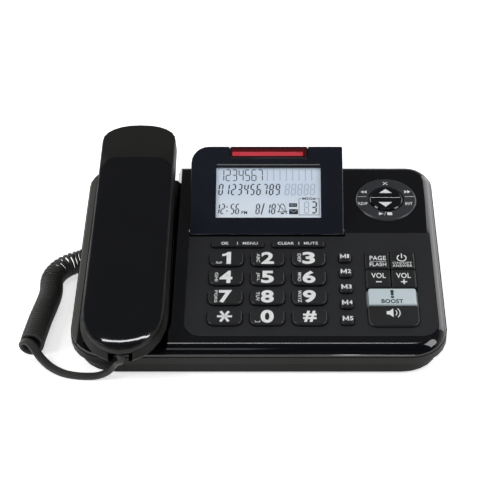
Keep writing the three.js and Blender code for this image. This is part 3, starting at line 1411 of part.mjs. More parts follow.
// Assembly: cord
const lead = [new THREE.Vector3(0, 0, 0), new THREE.Vector3(0, -CORD_DIAMETER, 0)];
handsetPlug.updateWorldMatrix(true, false);
lead[0].y = -2 * SEAM;
lead[1].y = -2 * SEAM - LEAD_WIDTH / 2;
lead.forEach((point) => point.applyMatrix4(handsetPlug.matrixWorld));
const curls = curlyLine();
const backward = curls[0].clone().sub(curls[1]).normalize();
const leadEnd = curls[0].clone().addScaledVector(backward, SEAM);
const leadRoute = [...lead, ...LEAD_ROUTE.map(besideBase), leadEnd];
const leadCurve = new THREE.CatmullRomCurve3(leadRoute, false, 'centripetal');
const leadSteps = Math.round(leadCurve.getLength() / LEAD_HEIGHT);
place(phone, 'handset_lead', tubeSkin(
  tubeThrough(leadCurve.getSpacedPoints(leadSteps), LEAD_WIDTH, LEAD_HEIGHT, CORD_SIDES),
), rubber);
const curlRings = steadyRings(curls, CORD_DIAMETER, CURL_SIDES);
place(phone, 'curly_cord', tubeSkin(curlRings), rubber);
const curlCount = Math.round(curls.length / CURL_STEPS);
console.log(`curly cord: ${curlCount} curls, least gap ${leastGap(curlRings).toFixed(2)} mm`);

// Assembly: sockets and plug in the side bay, with the plug's nose to the right
const basePlug = place(phone, 'base_plug', cordPlug(), clearPlug);
basePlug.rotation.z = -QUARTER_TURN;
basePlug.position.set(curls[curls.length - 1].x + SEAM, BAY_ALONG, COIL_HEIGHT);
const baseSocket = place(phone, 'base_cord_jack', cordSocket(CORD_SOCKET_RISE), keyBlack);
baseSocket.rotation.z = -QUARTER_TURN;
baseSocket.position.set(BAY_LEFT, BAY_ALONG, COIL_HEIGHT);

// Assembly: sockets at the back
const [lineHousing, powerHousing] = backSockets();
const socketBack = HOUSING_BACK - BACK_TUCK + SEAM;

function backSocket({ left, right, bottom, top }, hole) {
  return cut(block(left, right, socketBack - SOCKET_DEPTH, socketBack, bottom, top), hole);
}

place(phone, 'line_jack', backSocket(lineHousing, block(
  lineHousing.left + SOCKET_WALL, lineHousing.right - SOCKET_WALL, socketBack - SOCKET_DEPTH + SOCKET_END,
  socketBack + OVERRUN, lineHousing.bottom + SOCKET_WALL, lineHousing.top - SOCKET_WALL,
)), keyBlack);

function standing(diameter, length) {
  return bar(0, 0, diameter, 0, length, SMALL_SIDES).rotateX(-QUARTER_TURN)
    .translate(POWER_SOCKET_ACROSS, socketBack - SOCKET_DEPTH + SOCKET_END, SOCKET_HEIGHT);
}

place(phone, 'power_jack', join(
  backSocket(powerHousing, standing(POWER_SOCKET_BORE, OVERRUN)),
  standing(POWER_PIN, SOCKET_DEPTH - 2 * SOCKET_END).translate(0, -SEAM, 0),
), keyBlack);

// Assembly: feet and screws
const FOOT_NAMES = ['front_left', 'back_left', 'front_right', 'back_right'];
footPlaces().forEach(([x, y], i) => {
  const foot = bar(x, y, FOOT_DIAMETER, 0, FOOT_THICKNESS, ROUND_SIDES);
  place(phone, `rubber_foot_${FOOT_NAMES[i]}`, foot, rubber);
});
screwPlaces().forEach(([x, y], i) => {
  place(phone, `housing_screw_${i ? 'right' : 'left'}`, join(
    bar(x, y, SCREW_HEAD, SCREW_SEAT - SEAM - SCREW_HEAD_DEPTH / 2, SCREW_SEAT - SEAM),
    bar(x, y, SCREW_SHANK, SCREW_SEAT - SCREW_HEAD_DEPTH / 2, SCREW_SEAT + SCREW_LENGTH),
  ), steel);
});

// The origin: the middle of everything but the cord and its plugs, on the table.
const CORD_NAMES = ['handset_plug', 'handset_lead', 'curly_cord', 'base_plug'];
phone.updateMatrixWorld(true);
const extent = new THREE.Box3();
phone.traverse((child) => {
  if (child.isMesh && !CORD_NAMES.includes(child.name)) {
    extent.union(new THREE.Box3().setFromObject(child, true));
  }
});
const middle = extent.getCenter(new THREE.Vector3());
phone.position.set(-middle.x, -middle.y, -extent.min.z);

export default phone;
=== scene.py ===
import math

import bmesh
import bpy
from mathutils import Matrix, Vector


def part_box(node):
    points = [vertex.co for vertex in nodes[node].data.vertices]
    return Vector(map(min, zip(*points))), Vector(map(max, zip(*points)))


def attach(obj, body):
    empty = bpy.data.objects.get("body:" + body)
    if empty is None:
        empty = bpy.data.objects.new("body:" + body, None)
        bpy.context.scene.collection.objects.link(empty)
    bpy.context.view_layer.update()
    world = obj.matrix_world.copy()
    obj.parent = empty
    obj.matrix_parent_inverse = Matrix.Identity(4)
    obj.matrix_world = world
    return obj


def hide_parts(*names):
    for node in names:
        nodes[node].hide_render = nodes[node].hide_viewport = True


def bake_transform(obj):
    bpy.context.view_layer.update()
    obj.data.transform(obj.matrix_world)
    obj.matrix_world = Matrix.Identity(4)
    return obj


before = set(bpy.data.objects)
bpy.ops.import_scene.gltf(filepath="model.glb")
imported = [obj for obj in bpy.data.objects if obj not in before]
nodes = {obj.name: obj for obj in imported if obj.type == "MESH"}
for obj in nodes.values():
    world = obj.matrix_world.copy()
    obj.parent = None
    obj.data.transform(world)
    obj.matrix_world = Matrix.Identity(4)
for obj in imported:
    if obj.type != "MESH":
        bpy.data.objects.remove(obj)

# The looks of an amplified desk telephone: its camera, curly cord, moulded plastics,
# printing, liquid crystal screen and studio light. Sizes in millimetres are named here
# and turned to metres where they are used.

bpy.context.view_layer.update()

MM = 0.001
UP = Vector((0, 0, 1))

# The sloping deck, the tilted display and the handset, as the part places them
FRONT_EDGE = -87.727
FRONT_HEIGHT = 9
SLOPE = math.radians(11.5)
HINGE_ALONG = 108.3
HINGE_RISE = 9.9
DISPLAY_TILT = math.radians(24.5)
HANDSET_PLACE = (-84.4, -8.6, 19)
HANDSET_TILT = math.radians(2.3)
DECK = Matrix.Translation((0, FRONT_EDGE * MM, FRONT_HEIGHT * MM)) @ Matrix.Rotation(SLOPE, 4, "X")
HINGE = DECK @ Matrix.Translation((0, HINGE_ALONG * MM, HINGE_RISE * MM))
DISPLAY = HINGE @ Matrix.Rotation(DISPLAY_TILT, 4, "X")
CRADLE = DECK @ Matrix.Translation([c * MM for c in HANDSET_PLACE])
HANDSET = CRADLE @ Matrix.Rotation(HANDSET_TILT, 4, "X")


# Camera

CAMERA_PLACE = (0.012063, -0.801514, 0.566791)
CAMERA_DOWN = math.radians(33.5)
SENSOR = 36
LENS = 104.4
SHIFT_ACROSS = -0.056

lens = bpy.data.cameras.new("camera")
lens.sensor_width = SENSOR
lens.lens = LENS
lens.shift_x = SHIFT_ACROSS
camera = bpy.data.objects.new("camera", lens)
camera.location = CAMERA_PLACE
camera.rotation_euler = (math.pi / 2 - CAMERA_DOWN, 0, 0)
bpy.context.scene.collection.objects.link(camera)
bpy.context.scene.camera = camera


# Colours and material nodes

ABS_IOR = 1.53
ACRYLIC_IOR = 1.49
GLASS_IOR = 1.5
RUBBER_IOR = 1.52
PVC_IOR = 1.54
EPOXY_IOR = 1.55
PAPER_IOR = 1.45

# Sockets of a mix node: its two colours and their mix, then its two numbers and theirs
FIRST_COLOUR, SECOND_COLOUR, MIXED_COLOUR = 6, 7, 2
FIRST_NUMBER, SECOND_NUMBER, MIXED_NUMBER = 2, 3, 0


def colour(code):
    """A linear colour from an sRGB code such as "1a1b1e"."""
    parts = [int(code[i:i + 2], 16) / 255 for i in (0, 2, 4)]
    return [p / 12.92 if p <= 0.04045 else ((p + 0.055) / 1.055) ** 2.4 for p in parts] + [1]


def add(tree, kind, settings=None, links=None):
    """Adds a node, with its settings and the sockets that feed it."""
    node = tree.nodes.new(kind)
    for name, value in (settings or {}).items():
        if isinstance(name, int) or name in node.inputs:
            node.inputs[name].default_value = value
        else:
            setattr(node, name, value)
    for name, socket in (links or {}).items():
        tree.links.new(socket, node.inputs[name])
    return node


def new_material(name, **sockets):
    """A material with one plain shader, and its tree, shader and object coordinates."""
    material = bpy.data.materials.new(name)
    material.use_nodes = True
    tree = material.node_tree
    shader = tree.nodes["Principled BSDF"]
    for socket, value in sockets.items():
        shader.inputs[socket.replace("_", " ")].default_value = value
    place = add(tree, "ShaderNodeTexCoord").outputs["Object"]
    return material, tree, shader, place


def moulded(name, tone, lighter, roughness, spread, grain, depth, cloud=35, **sockets):
    """Moulded plastic: a grain of this size and depth in millimetres from its mould, a tone
    that drifts a little over the piece, and a gloss that varies by spread either way."""
    material, tree, shader, place = new_material(name, **sockets)
    drift = add(tree, "ShaderNodeTexNoise", {
        "Scale": 1 / (cloud * MM), "Detail": 3.0,
    }, {"Vector": place})
    mix = add(tree, "ShaderNodeMix", {
        "data_type": "RGBA", FIRST_COLOUR: colour(tone), SECOND_COLOUR: colour(lighter),
    }, {"Factor": drift.outputs["Fac"]})
    tree.links.new(mix.outputs[MIXED_COLOUR], shader.inputs["Base Color"])
    gloss = add(tree, "ShaderNodeMapRange", {
        "From Min": 0.3, "From Max": 0.7, "To Min": roughness - spread, "To Max": roughness + spread,
    }, {"Value": drift.outputs["Fac"]})
    tree.links.new(gloss.outputs["Result"], shader.inputs["Roughness"])
    pits = add(tree, "ShaderNodeTexNoise", {
        "Scale": 1 / (grain * MM), "Detail": 2.0, "Roughness": 0.6,
    }, {"Vector": place})
    relief = add(tree, "ShaderNodeBump", {
        "Strength": 1.0, "Distance": depth * MM,
    }, {"Height": pits.outputs["Fac"]})
    tree.links.new(relief.outputs["Normal"], shader.inputs["Normal"])
    return material


# ABS moulded in a polished tool: near black, mirror gloss, a faint long ripple in reflections.
polished_abs = moulded(
    "polished_abs", "0d0e12", "111216", roughness=0.07, spread=0.02, grain=7, depth=0.004, IOR=ABS_IOR,
)
# ABS moulded in a spark-eroded tool: charcoal, satin, with a fine even grain.
panel_abs = moulded(
    "spark_grained_abs_panel", "1b1c1f", "212226", roughness=0.52, spread=0.05, grain=0.5, depth=0.02,
    IOR=ABS_IOR, Specular_IOR_Level=0.3,
)
# The same grain on the shells, in a warmer and darker black.
shell_abs = moulded(
    "spark_grained_abs_shell", "121211", "171715", roughness=0.45, spread=0.06, grain=0.6, depth=0.02,
    IOR=ABS_IOR, Specular_IOR_Level=0.2,
)
# Key caps: the panel's charcoal, smoother to the finger.
cap_abs = moulded(
    "satin_abs_key_caps", "17181a", "1c1d1f", roughness=0.45, spread=0.05, grain=0.4, depth=0.008,
    IOR=ABS_IOR, Specular_IOR_Level=0.35,
)
# Sockets: a plain satin black.
key_abs = moulded(
    "satin_abs_sockets", "1c1c1f", "222226", roughness=0.42, spread=0.05, grain=0.4, depth=0.008,
    IOR=ABS_IOR,
)
# The round ring: a greyer satin than the keys.
ring_abs = moulded(
    "satin_abs_ring", "2a2b2f", "313338", roughness=0.4, spread=0.05, grain=0.4, depth=0.008,
    IOR=ABS_IOR,
)
# Ice white translucent ABS of the boost key: light goes a little way in.
ice_abs = moulded(
    "ice_white_abs", "c6d4da", "d2dee3", roughness=0.38, spread=0.05, grain=0.4, depth=0.006,
    IOR=ABS_IOR, Subsurface_Weight=0.15, Subsurface_Scale=0.0015,
)
# Display bezel: polished ABS, blue black.
bezel_abs = moulded(
    "polished_abs_bezel", "1a1c25", "1e202a", roughness=0.13, spread=0.03, grain=6, depth=0.003,
    IOR=ABS_IOR,
)
# Rubber feet and the keypad mat: moulded, matt, powdery.
moulded_rubber = moulded(
    "moulded_rubber", "1d1d1d", "262626", roughness=0.82, spread=0.06, grain=0.5, depth=0.03,
    IOR=RUBBER_IOR, Sheen_Weight=0.15,
)
# The cord's jacket: extruded soft PVC, a satin black that shows its roundness.
cord_pvc = moulded(
    "extruded_soft_pvc", "2a2a29", "333331", roughness=0.55, spread=0.05, grain=1.2, depth=0.015,
    IOR=PVC_IOR, Specular_IOR_Level=0.35,
)
# Solder mask on the circuit board: a thin even green coat with a slight orange peel.
solder_mask = moulded(
    "solder_mask", "17492d", "215f3c", roughness=0.4, spread=0.06, grain=1.5, depth=0.01, IOR=EPOXY_IOR,
)
# Zinc plated steel of screws, pin and capsules: bright, faintly blotched.
zinc_steel = moulded(
    "zinc_plated_steel", "a9abae", "c3c5c7", roughness=0.32, spread=0.08, grain=0.8, depth=0.01,
    Metallic=1.0,
)
# Gold flashed contacts: warm, bright and smooth.
gold_contact = moulded(
    "gold_flashed_contact", "c79a3e", "dcb45a", roughness=0.25, spread=0.05, grain=0.5, depth=0.004,
    Metallic=1.0,
)

# The cover's left edge, across, where its satin band of painted light ends and its gloss starts
PAINTED_LIGHT_END = -114.5
GLOSS_START = -113.5
RIM_ROUGHNESS = 0.5


def cover_with_painted_edge_light():
    """The cover's polished ABS, with a satin olive grey band along its left edge: a painted highlight that
    stands for the light seen on that edge.
    """
    material = polished_abs.copy()
    material.name = "polished_abs_cover_painted_edge_light"
    tree = material.node_tree
    shader = tree.nodes["Principled BSDF"]
    polished_tone = shader.inputs["Base Color"].links[0].from_socket
    polished_gloss = shader.inputs["Roughness"].links[0].from_socket
    place = add(tree, "ShaderNodeTexCoord").outputs["Object"]
    axes = add(tree, "ShaderNodeSeparateXYZ", links={"Vector": place})
    inward = add(tree, "ShaderNodeMapRange", {
        "From Min": PAINTED_LIGHT_END * MM, "From Max": GLOSS_START * MM,
    }, {"Value": axes.outputs["X"]})
    # Painted highlight: olive grey along the cover's left edge, blending into its own gloss inwards
    tone = add(tree, "ShaderNodeMix", {"data_type": "RGBA", FIRST_COLOUR: colour("4e4e4a")}, {
        "Factor": inward.outputs["Result"], SECOND_COLOUR: polished_tone,
    })
    tree.links.new(tone.outputs[MIXED_COLOUR], shader.inputs["Base Color"])
    gloss = add(tree, "ShaderNodeMix", {FIRST_NUMBER: RIM_ROUGHNESS}, {
        "Factor": inward.outputs["Result"], SECOND_NUMBER: polished_gloss,
    })
    tree.links.new(gloss.outputs[MIXED_NUMBER], shader.inputs["Roughness"])
    return material


cover_abs = cover_with_painted_edge_light()


def clear_plastic(name, tint, see_through, roughness):
    """Clear moulded plastic that shows what lies under it, with fine ripples from its mould."""
    material, tree, shader, place = new_material(
        name, Alpha=see_through, Roughness=roughness, IOR=ACRYLIC_IOR,
    )
    shader.inputs["Base Color"].default_value = colour(tint)
    ripple = add(tree, "ShaderNodeTexNoise", {"Scale": 1 / (9 * MM)}, {"Vector": place})
    relief = add(tree, "ShaderNodeBump", {
        "Strength": 1.0, "Distance": 0.003 * MM,
    }, {"Height": ripple.outputs["Fac"]})
    tree.links.new(relief.outputs["Normal"], shader.inputs["Normal"])
    return material


# Cast acrylic over the screen: almost all seen through.
window_acrylic = clear_plastic("cast_acrylic_window", "1a1d22", see_through=0.035, roughness=0.04)
# Polycarbonate plugs: smoky clear, so that the wires in them show a little.
plug_polycarbonate = clear_plastic("clear_polycarbonate_plug", "8d9296", see_through=0.5, roughness=0.12)

# The lens in the shared frame, across and upright: its middle, half its size, and how far its
# shade reaches in from its edge
LENS_MIDDLE = (5.8, 77.0)
LENS_HALF = (26.4, 2.7)
SHADE_REACH = (0.3, 1.9)
PRISM_PITCH = 6


def ribbed_lens():
    """Red acrylic of the call light: dyed through, with prisms moulded across it, drawn coarser
    than real ones so that they show, and dark near its edges, where the bezel shades it."""
    material, tree, shader, place = new_material(
        "dyed_acrylic_lens", IOR=ACRYLIC_IOR, Roughness=0.16, Coat_Weight=0.4,
    )
    prisms = add(tree, "ShaderNodeTexWave", {
        "Scale": 1 / (PRISM_PITCH * MM), "Distortion": 0.0,
    }, {"Vector": place})
    dyed = add(tree, "ShaderNodeMix", {
        "data_type": "RGBA", FIRST_COLOUR: colour("4c080d"), SECOND_COLOUR: colour("5c0c13"),
    }, {"Factor": prisms.outputs["Fac"]})
    axes = add(tree, "ShaderNodeSeparateXYZ", links={"Vector": place})
    depths = []
    for axis, middle, half in zip("XZ", LENS_MIDDLE, LENS_HALF):
        shift = add(tree, "ShaderNodeMath", {"operation": "SUBTRACT", 1: middle * MM}, {
            0: axes.outputs[axis],
        })
        size = add(tree, "ShaderNodeMath", {"operation": "ABSOLUTE"}, {0: shift.outputs["Value"]})
        depth = add(tree, "ShaderNodeMath", {"operation": "SUBTRACT", 0: half * MM}, {
            1: size.outputs["Value"],
        })
        depths.append(depth.outputs["Value"])
    inside = add(tree, "ShaderNodeMath", {"operation": "MINIMUM"}, {0: depths[0], 1: depths[1]})
    edge = add(tree, "ShaderNodeMapRange", {
        "interpolation_type": "SMOOTHSTEP",
        "From Min": SHADE_REACH[0] * MM, "From Max": SHADE_REACH[1] * MM,
    }, {"Value": inside.outputs["Value"]})
    shaded = add(tree, "ShaderNodeMix", {"data_type": "RGBA", FIRST_COLOUR: colour("12080b")}, {
        "Factor": edge.outputs["Result"], SECOND_COLOUR: dyed.outputs[MIXED_COLOUR],
    })
    tree.links.new(shaded.outputs[MIXED_COLOUR], shader.inputs["Base Color"])
    relief = add(tree, "ShaderNodeBump", {
        "Strength": 1.0, "Distance": 0.02 * MM,
    }, {"Height": prisms.outputs["Fac"]})
    tree.links.new(relief.outputs["Normal"], shader.inputs["Normal"])
    return material


red_lens = ribbed_lens()
# The bar behind the lens that carries the light: the same acrylic, painted a brighter red with a faint
# painted glow, for how it looks brighter seen end on.
red_bar_painted_glow = moulded(
    "acrylic_bar_painted_glow", "b02432", "c03040", roughness=0.3, spread=0.05, grain=2.5, depth=0.01,
    cloud=12, IOR=ACRYLIC_IOR, Emission_Color=colour("c83040"), Emission_Strength=0.18,
)

# The screen's front and back edges in the shared frame, upright
SCREEN_FOOT = 38.5
SCREEN_HEAD = 64.5
FROST_SIZE = 14


def screen_backing():
    """The screen's reflector behind its glass: pale blue, whiter towards its front edge."""
    material, tree, shader, place = new_material(
        "screen_reflector", Roughness=0.35, IOR=GLASS_IOR, Emission_Strength=0.22,
    )
    axes = add(tree, "ShaderNodeSeparateXYZ", links={"Vector": place})
    share = add(tree, "ShaderNodeMapRange", {
        "From Min": SCREEN_FOOT * MM, "From Max": SCREEN_HEAD * MM,
    }, {"Value": axes.outputs["Z"]})
    frost = add(tree, "ShaderNodeTexNoise", {
        "Scale": 1 / (FROST_SIZE * MM), "Detail": 2.0,
    }, {"Vector": place})
    blur = add(tree, "ShaderNodeMath", {"operation": "MULTIPLY_ADD", 1: 0.35}, {
        0: frost.outputs["Fac"], 2: share.outputs["Result"],
    })
    fade = add(tree, "ShaderNodeMix", {
        "data_type": "RGBA", FIRST_COLOUR: colour("f0f6fa"), SECOND_COLOUR: colour("cfdcec"),
    }, {"Factor": blur.outputs["Value"]})
    tree.links.new(fade.outputs[MIXED_COLOUR], shader.inputs["Base Color"])
    tree.links.new(fade.outputs[MIXED_COLOUR], shader.inputs["Emission Color"])
    return material


reflector = screen_backing()


def printed(name, tone, thin, roughness=0.55):
    """Pad printing: an even coat of ink that is a little thinner in places."""
    return moulded(
        name, tone, thin, roughness, spread=0.05, grain=0.3, depth=0.004, cloud=2.5, IOR=GLASS_IOR,
    )


# White and dark pad printing ink, a plain grey for the bezel's fine line, then the liquid crystal: dark and
# blue black where it is switched, and barely darker than the reflector where it idles.
white_ink = printed("pad_printed_white_ink", "f2f4f4", "e3e6e6")
bezel_line_grey = printed("plain_grey_bezel_line", "7d7e78", "6b6c67")
dark_ink = printed("pad_printed_dark_ink", "1e232b", "2c323b")
lit_segment = printed("switched_liquid_crystal", "10161f", "1a222d", 0.4)
idle_segment = printed("idle_liquid_crystal", "b9c6d9", "aebdd3", 0.4)


# The curly handset cord: a flat lead from the handset, then curls that lie on the table
# and run round into the bay in the base's side wall. Its points are those of the part.

CORD_DIAMETER = 2.0
LEAD_WIDTH = 5.6
LEAD_HEIGHT = 2.8
PLUG_GAP = 0.6
COIL_DIAMETER = 15.6
COIL_PITCH = 2.47
COIL_HEIGHT = 7.9
CLOSING_LENGTH = 8.5
CLOSING_TURN = 0.45
CLOSING_STEPS = 16
COIL_START = math.radians(185)
CURL_STEPS = 20
CORD_SIDES = 16
CORD_STEP = 1.3
FREE_STEPS = 60
SQUARE_EDGE = 0.45
FINE_STEPS = 24
PLUG_SETBACK = 5
PLUG_DROP = 3.4
LEAD_ROUTE = [
    (-84.9, -10.6, 20.4), (-85.8, -9.3, 17.3), (-87.0, -6.1, 14.4), (-88.9, -4.0, 11.0), (-92.7, -3.2, 6.4),
    (-96.9, -3.0, 3.7), (-101.5, -2.9, 2.1), (-106.9, -2.7, 1.6), (-113.2, -2.1, 1.5), (-121.0, 0.0, 1.5),
    (-127.0, 3.4, 1.6), (-132.0, 7.4, 2.0), (-135.8, 10.8, 3.3), (-138.8, 13.6, 5.2),
]
BEND_ROUTE = [(-141.6, 15.7, 8.6), (-144.0, 17.2, 11.6), (-146.9, 18.7, 12.6), (-149.8, 20.2, 11.3)]
COIL_ROUTE = [
    (-144.5, 21.7), (-143.9, 31.7), (-143.3, 39.2), (-142.4, 50), (-140.9, 62), (-139.7, 74.9),
    (-139.8, 82), (-140.5, 88), (-140.8, 93), (-139.9, 98.7), (-137.3, 105), (-133.2, 110.4),
    (-128.6, 114.1), (-124.6, 116.3), (-121.2, 118.6), (-118.1, 121.2), (-115.6, 122.7), (-114, 123),
    (-112.6, 123),
]


def on_table(point):
    """A point of the part's own route, in millimetres, in the shared frame in metres."""
    return Vector((point[0], point[1] + FRONT_EDGE, point[2])) * MM


def smooth_line(points, step, after=None):
    """Points at an even step along one smooth curve through these points, which may run on
    towards one more point."""
    ends = [2 * points[0] - points[1], *points, after or 2 * points[-1] - points[-2]]
    fine = []
    for p0, p1, p2, p3 in zip(ends, ends[1:], ends[2:], ends[3:]):
        times = [0.0]
        for a, b in ((p0, p1), (p1, p2), (p2, p3)):
            times.append(times[-1] + math.sqrt(max((b - a).length, 1e-9)))
        t0, t1, t2, t3 = times
        for i in range(FINE_STEPS):
            t = t1 + (t2 - t1) * i / FINE_STEPS
            a1 = p0.lerp(p1, (t - t0) / (t1 - t0))
            a2 = p1.lerp(p2, (t - t1) / (t2 - t1))
            a3 = p2.lerp(p3, (t - t2) / (t3 - t2))
            b1 = a1.lerp(a2, (t - t0) / (t2 - t0))
            b2 = a2.lerp(a3, (t - t1) / (t3 - t1))
            fine.append(b1.lerp(b2, (t - t1) / (t2 - t1)))
    fine.append(points[-1].copy())
    return even_steps(fine, step)


def even_steps(line, step):
    """The same line, cut into even steps close to this length."""
    along = [0.0]
    for a, b in zip(line, line[1:]):
        along.append(along[-1] + (b - a).length)
    count = max(2, round(along[-1] / step))
    even, i = [], 0
    for k in range(count + 1):
        wanted = along[-1] * k / count
        while i < len(line) - 2 and along[i + 1] < wanted:
            i += 1
        reach = along[i + 1] - along[i]
        even.append(line[i].lerp(line[i + 1], (wanted - along[i]) / reach if reach > 0 else 0))
    return even


def line_length(line):
    """The length of a line through points."""
    return sum((b - a).length for a, b in zip(line, line[1:]))


def curls_along(axis):
    """The curls' middle line round the coil's own middle line, opening its pitch on bends. The
    last strand leaves the coil in a gentle bend to the plug."""
    radius = (COIL_DIAMETER - CORD_DIAMETER) / 2 * MM
    pitch = COIL_PITCH * MM
    length = line_length(axis)
    step = length / (len(axis) - 1)

    def spot(distance):
        """A point of the coil's own middle line and its heading there."""
        at = min(max(distance / step, 0), len(axis) - 1.001)
        i = int(at)
        heading = (axis[min(i + 2, len(axis) - 1)] - axis[max(i - 1, 0)]).normalized()
        return axis[i].lerp(axis[i + 1], at - i), heading

    def round_middle(distance, angle, out):
        """A point this far out from that line, at this angle round it."""
        point, heading = spot(distance)
        left = UP.cross(heading).normalized()
        return point - left * out * math.cos(angle) + UP * out * math.sin(angle)

    curls, along, angle = [], 0.0, COIL_START
    while along < length - CLOSING_LENGTH * MM:
        curls.append(round_middle(along, angle, radius))
        bend = spot(along)[1].angle(spot(along + pitch)[1]) / pitch
        angle += 2 * math.pi / CURL_STEPS
        along += pitch / (1 - bend * radius) / CURL_STEPS
    reach = length - CORD_DIAMETER / 2 * MM - along
    wound = pitch * CLOSING_TURN
    for i in range(CLOSING_STEPS + 1):
        share = i / CLOSING_STEPS
        drawn = wound * share + (reach - wound) * share * share
        closed = 1 - share * share * (3 - 2 * share)
        turned = angle + 2 * math.pi * CLOSING_TURN * share
        curls.append(round_middle(along + drawn, turned, radius * closed))
    curls.append(axis[-1].copy())
    return curls


def cord_line():
    """The whole cord's middle line, and how many of its points come before the curls."""
    axis = smooth_line([on_table((x, y, COIL_HEIGHT)) for x, y in COIL_ROUTE], MM)
    curls = curls_along(axis)
    plug_end = [
        HANDSET @ (Vector((0, PLUG_SETBACK - gap, -PLUG_DROP)) * MM)
        for gap in (PLUG_GAP, PLUG_GAP + LEAD_WIDTH / 2)
    ]
    route = [on_table(p) for p in LEAD_ROUTE + BEND_ROUTE]
    lead = smooth_line([*plug_end, *route, curls[0]], CORD_STEP * MM, curls[CURL_STEPS // 8])
    return lead[:-1] + curls, len(lead) - 1


def cord_mesh(line, lead_count):
    """A tube along the line: a flat band with rounded edges along the lead, round from its
    first half curl, and never twisted."""
    mesh = bmesh.new()
    rings = []
    side = Vector((1, 0, 0))
    for i, point in enumerate(line):
        forward = (line[min(i + 1, len(line) - 1)] - line[max(i - 1, 0)]).normalized()
        if i < FREE_STEPS:
            side = UP.cross(forward)
        side = (side - forward * side.dot(forward)).normalized()
        over = side.cross(forward)
        flat = min(max((lead_count + CURL_STEPS / 2 - i) / CURL_STEPS, 0), 1)
        wide = (CORD_DIAMETER + (LEAD_WIDTH - CORD_DIAMETER) * flat) / 2 * MM
        high = (CORD_DIAMETER + (LEAD_HEIGHT - CORD_DIAMETER) * flat) / 2 * MM
        power = 1 - SQUARE_EDGE * flat
        ring = []
        for k in range(CORD_SIDES):
            turn = 2 * math.pi * k / CORD_SIDES
            across = math.copysign(abs(math.cos(turn)) ** power, math.cos(turn))
            up = math.copysign(abs(math.sin(turn)) ** power, math.sin(turn))
            ring.append(mesh.verts.new(point + side * wide * across + over * high * up))
        rings.append(ring)
    for a, b in zip(rings, rings[1:]):
        for k in range(CORD_SIDES):
            j = (k + 1) % CORD_SIDES
            mesh.faces.new((a[k], a[j], b[j], b[k]))
    mesh.faces.new(list(reversed(rings[0])))
    mesh.faces.new(rings[-1])
    bmesh.ops.recalc_face_normals(mesh, faces=mesh.faces)
    return mesh


def new_piece(name, mesh, material):
    """A piece of the scene from a bmesh, smooth, in this material."""
    data = bpy.data.meshes.new(name)
    mesh.to_mesh(data)
    mesh.free()
    for face in data.polygons:
        face.use_smooth = True
    data.materials.append(material)
    piece = bpy.data.objects.new(name, data)
    bpy.context.scene.collection.objects.link(piece)
    return piece


line, lead_count = cord_line()
curly = new_piece("curly_handset_cord", cord_mesh(line, lead_count), cord_pvc)
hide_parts("curly_cord", "handset_lead")
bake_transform(curly)


# The part's own pieces: each gets its material, and its edges their small mould radius

WELD_DISTANCE = 0.002
FLAT_WITHIN = math.radians(1)
SHARP_OVER = math.radians(32)
RADIUS_STEPS = 2
FLAT_WEIGHT = 80


def dress(names, material, radius):
    """Gives the part's pieces a finish, and rounds their sharp edges by this many millimetres."""
    for name in names.split():
        piece = nodes[name]
        piece.data.materials.clear()
        piece.data.materials.append(material)
        worn = piece.data.attributes.get("custom_normal")
        if worn:
            piece.data.attributes.remove(worn)
        for mark in ("sharp_edge", "sharp_face"):
            if mark in piece.data.attributes:
                piece.data.attributes.remove(piece.data.attributes[mark])
        for face in piece.data.polygons:
            face.use_smooth = True
        weld = piece.modifiers.new("weld", "WELD")
        weld.merge_threshold = WELD_DISTANCE * MM
        flat = piece.modifiers.new("flat_faces", "DECIMATE")
        flat.decimate_type = "DISSOLVE"
        flat.angle_limit = FLAT_WITHIN
        rounded = piece.modifiers.new("mould_radius", "BEVEL")
        rounded.width = radius * MM
        rounded.segments = RADIUS_STEPS
        rounded.limit_method = "ANGLE"
        rounded.angle_limit = SHARP_OVER
        shade = piece.modifiers.new("flat_shade", "WEIGHTED_NORMAL")
        shade.keep_sharp = True
        shade.weight = FLAT_WEIGHT


dress("top_cover", cover_abs, 0.3)
dress("handset_inlay nav_rocker", polished_abs, 0.25)
dress("keypad_panel", panel_abs, 0.15)
dress("bottom_housing middle_frame display_back_cover hook_switch", shell_abs, 0.3)
dress("handset_top_shell handset_bottom_shell", shell_abs, 0.25)
dress("display_bezel", bezel_abs, 0.2)
dress("nav_ring", ring_abs, 0.25)
dial_keys = [
    ("key_1", "1", ""), ("key_2", "2", "ABC"), ("key_3", "3", "DEF"), ("key_4", "4", "GHI"),
    ("key_5", "5", "JKL"), ("key_6", "6", "MNO"), ("key_7", "7", "PQRS"), ("key_8", "8", "TUV"),
    ("key_9", "9", "WXYZ"), ("key_star", "*", ""), ("key_0", "0", ""), ("key_hash", "#", ""),
]
dress(" ".join(name for name, _, _ in dial_keys), cap_abs, 0.25)
dress("menu_rocker clear_rocker memory_key_1 memory_key_2 memory_key_3", cap_abs, 0.2)
dress("memory_key_4 memory_key_5", cap_abs, 0.2)
dress("page_key answer_key volume_down_key volume_up_key speaker_key", cap_abs, 0.2)
dress("boost_key", ice_abs, 0.2)
dress("ringer_light", red_lens, 0.2)
dress("lcd_window", window_acrylic, 0.1)
dress("lcd_module", reflector, 0.1)
dress("handset_plug base_plug", plug_polycarbonate, 0.15)
dress("handset_cord_jack base_cord_jack line_jack power_jack", key_abs, 0.15)
dress("circuit_board", solder_mask, 0.1)
dress("keypad_mat rubber_foot_front_left rubber_foot_back_left", moulded_rubber, 0.25)
dress("rubber_foot_front_right rubber_foot_back_right", moulded_rubber, 0.25)
dress("base_speaker display_hinge_pin receiver_capsule microphone", zinc_steel, 0.2)
dress("housing_screw_left housing_screw_right", zinc_steel, 0.15)


# Printing: flat shapes in millimetres on a plane, made into a thin coat of ink

INK = 0.04
LETTER_ROUNDNESS = 4
LETTER_SPACING = 1.06
SQUARE_END = 0.6
ARC_STEPS = 14
BAND_STEPS = 20
SAME_POINT = 0.0005


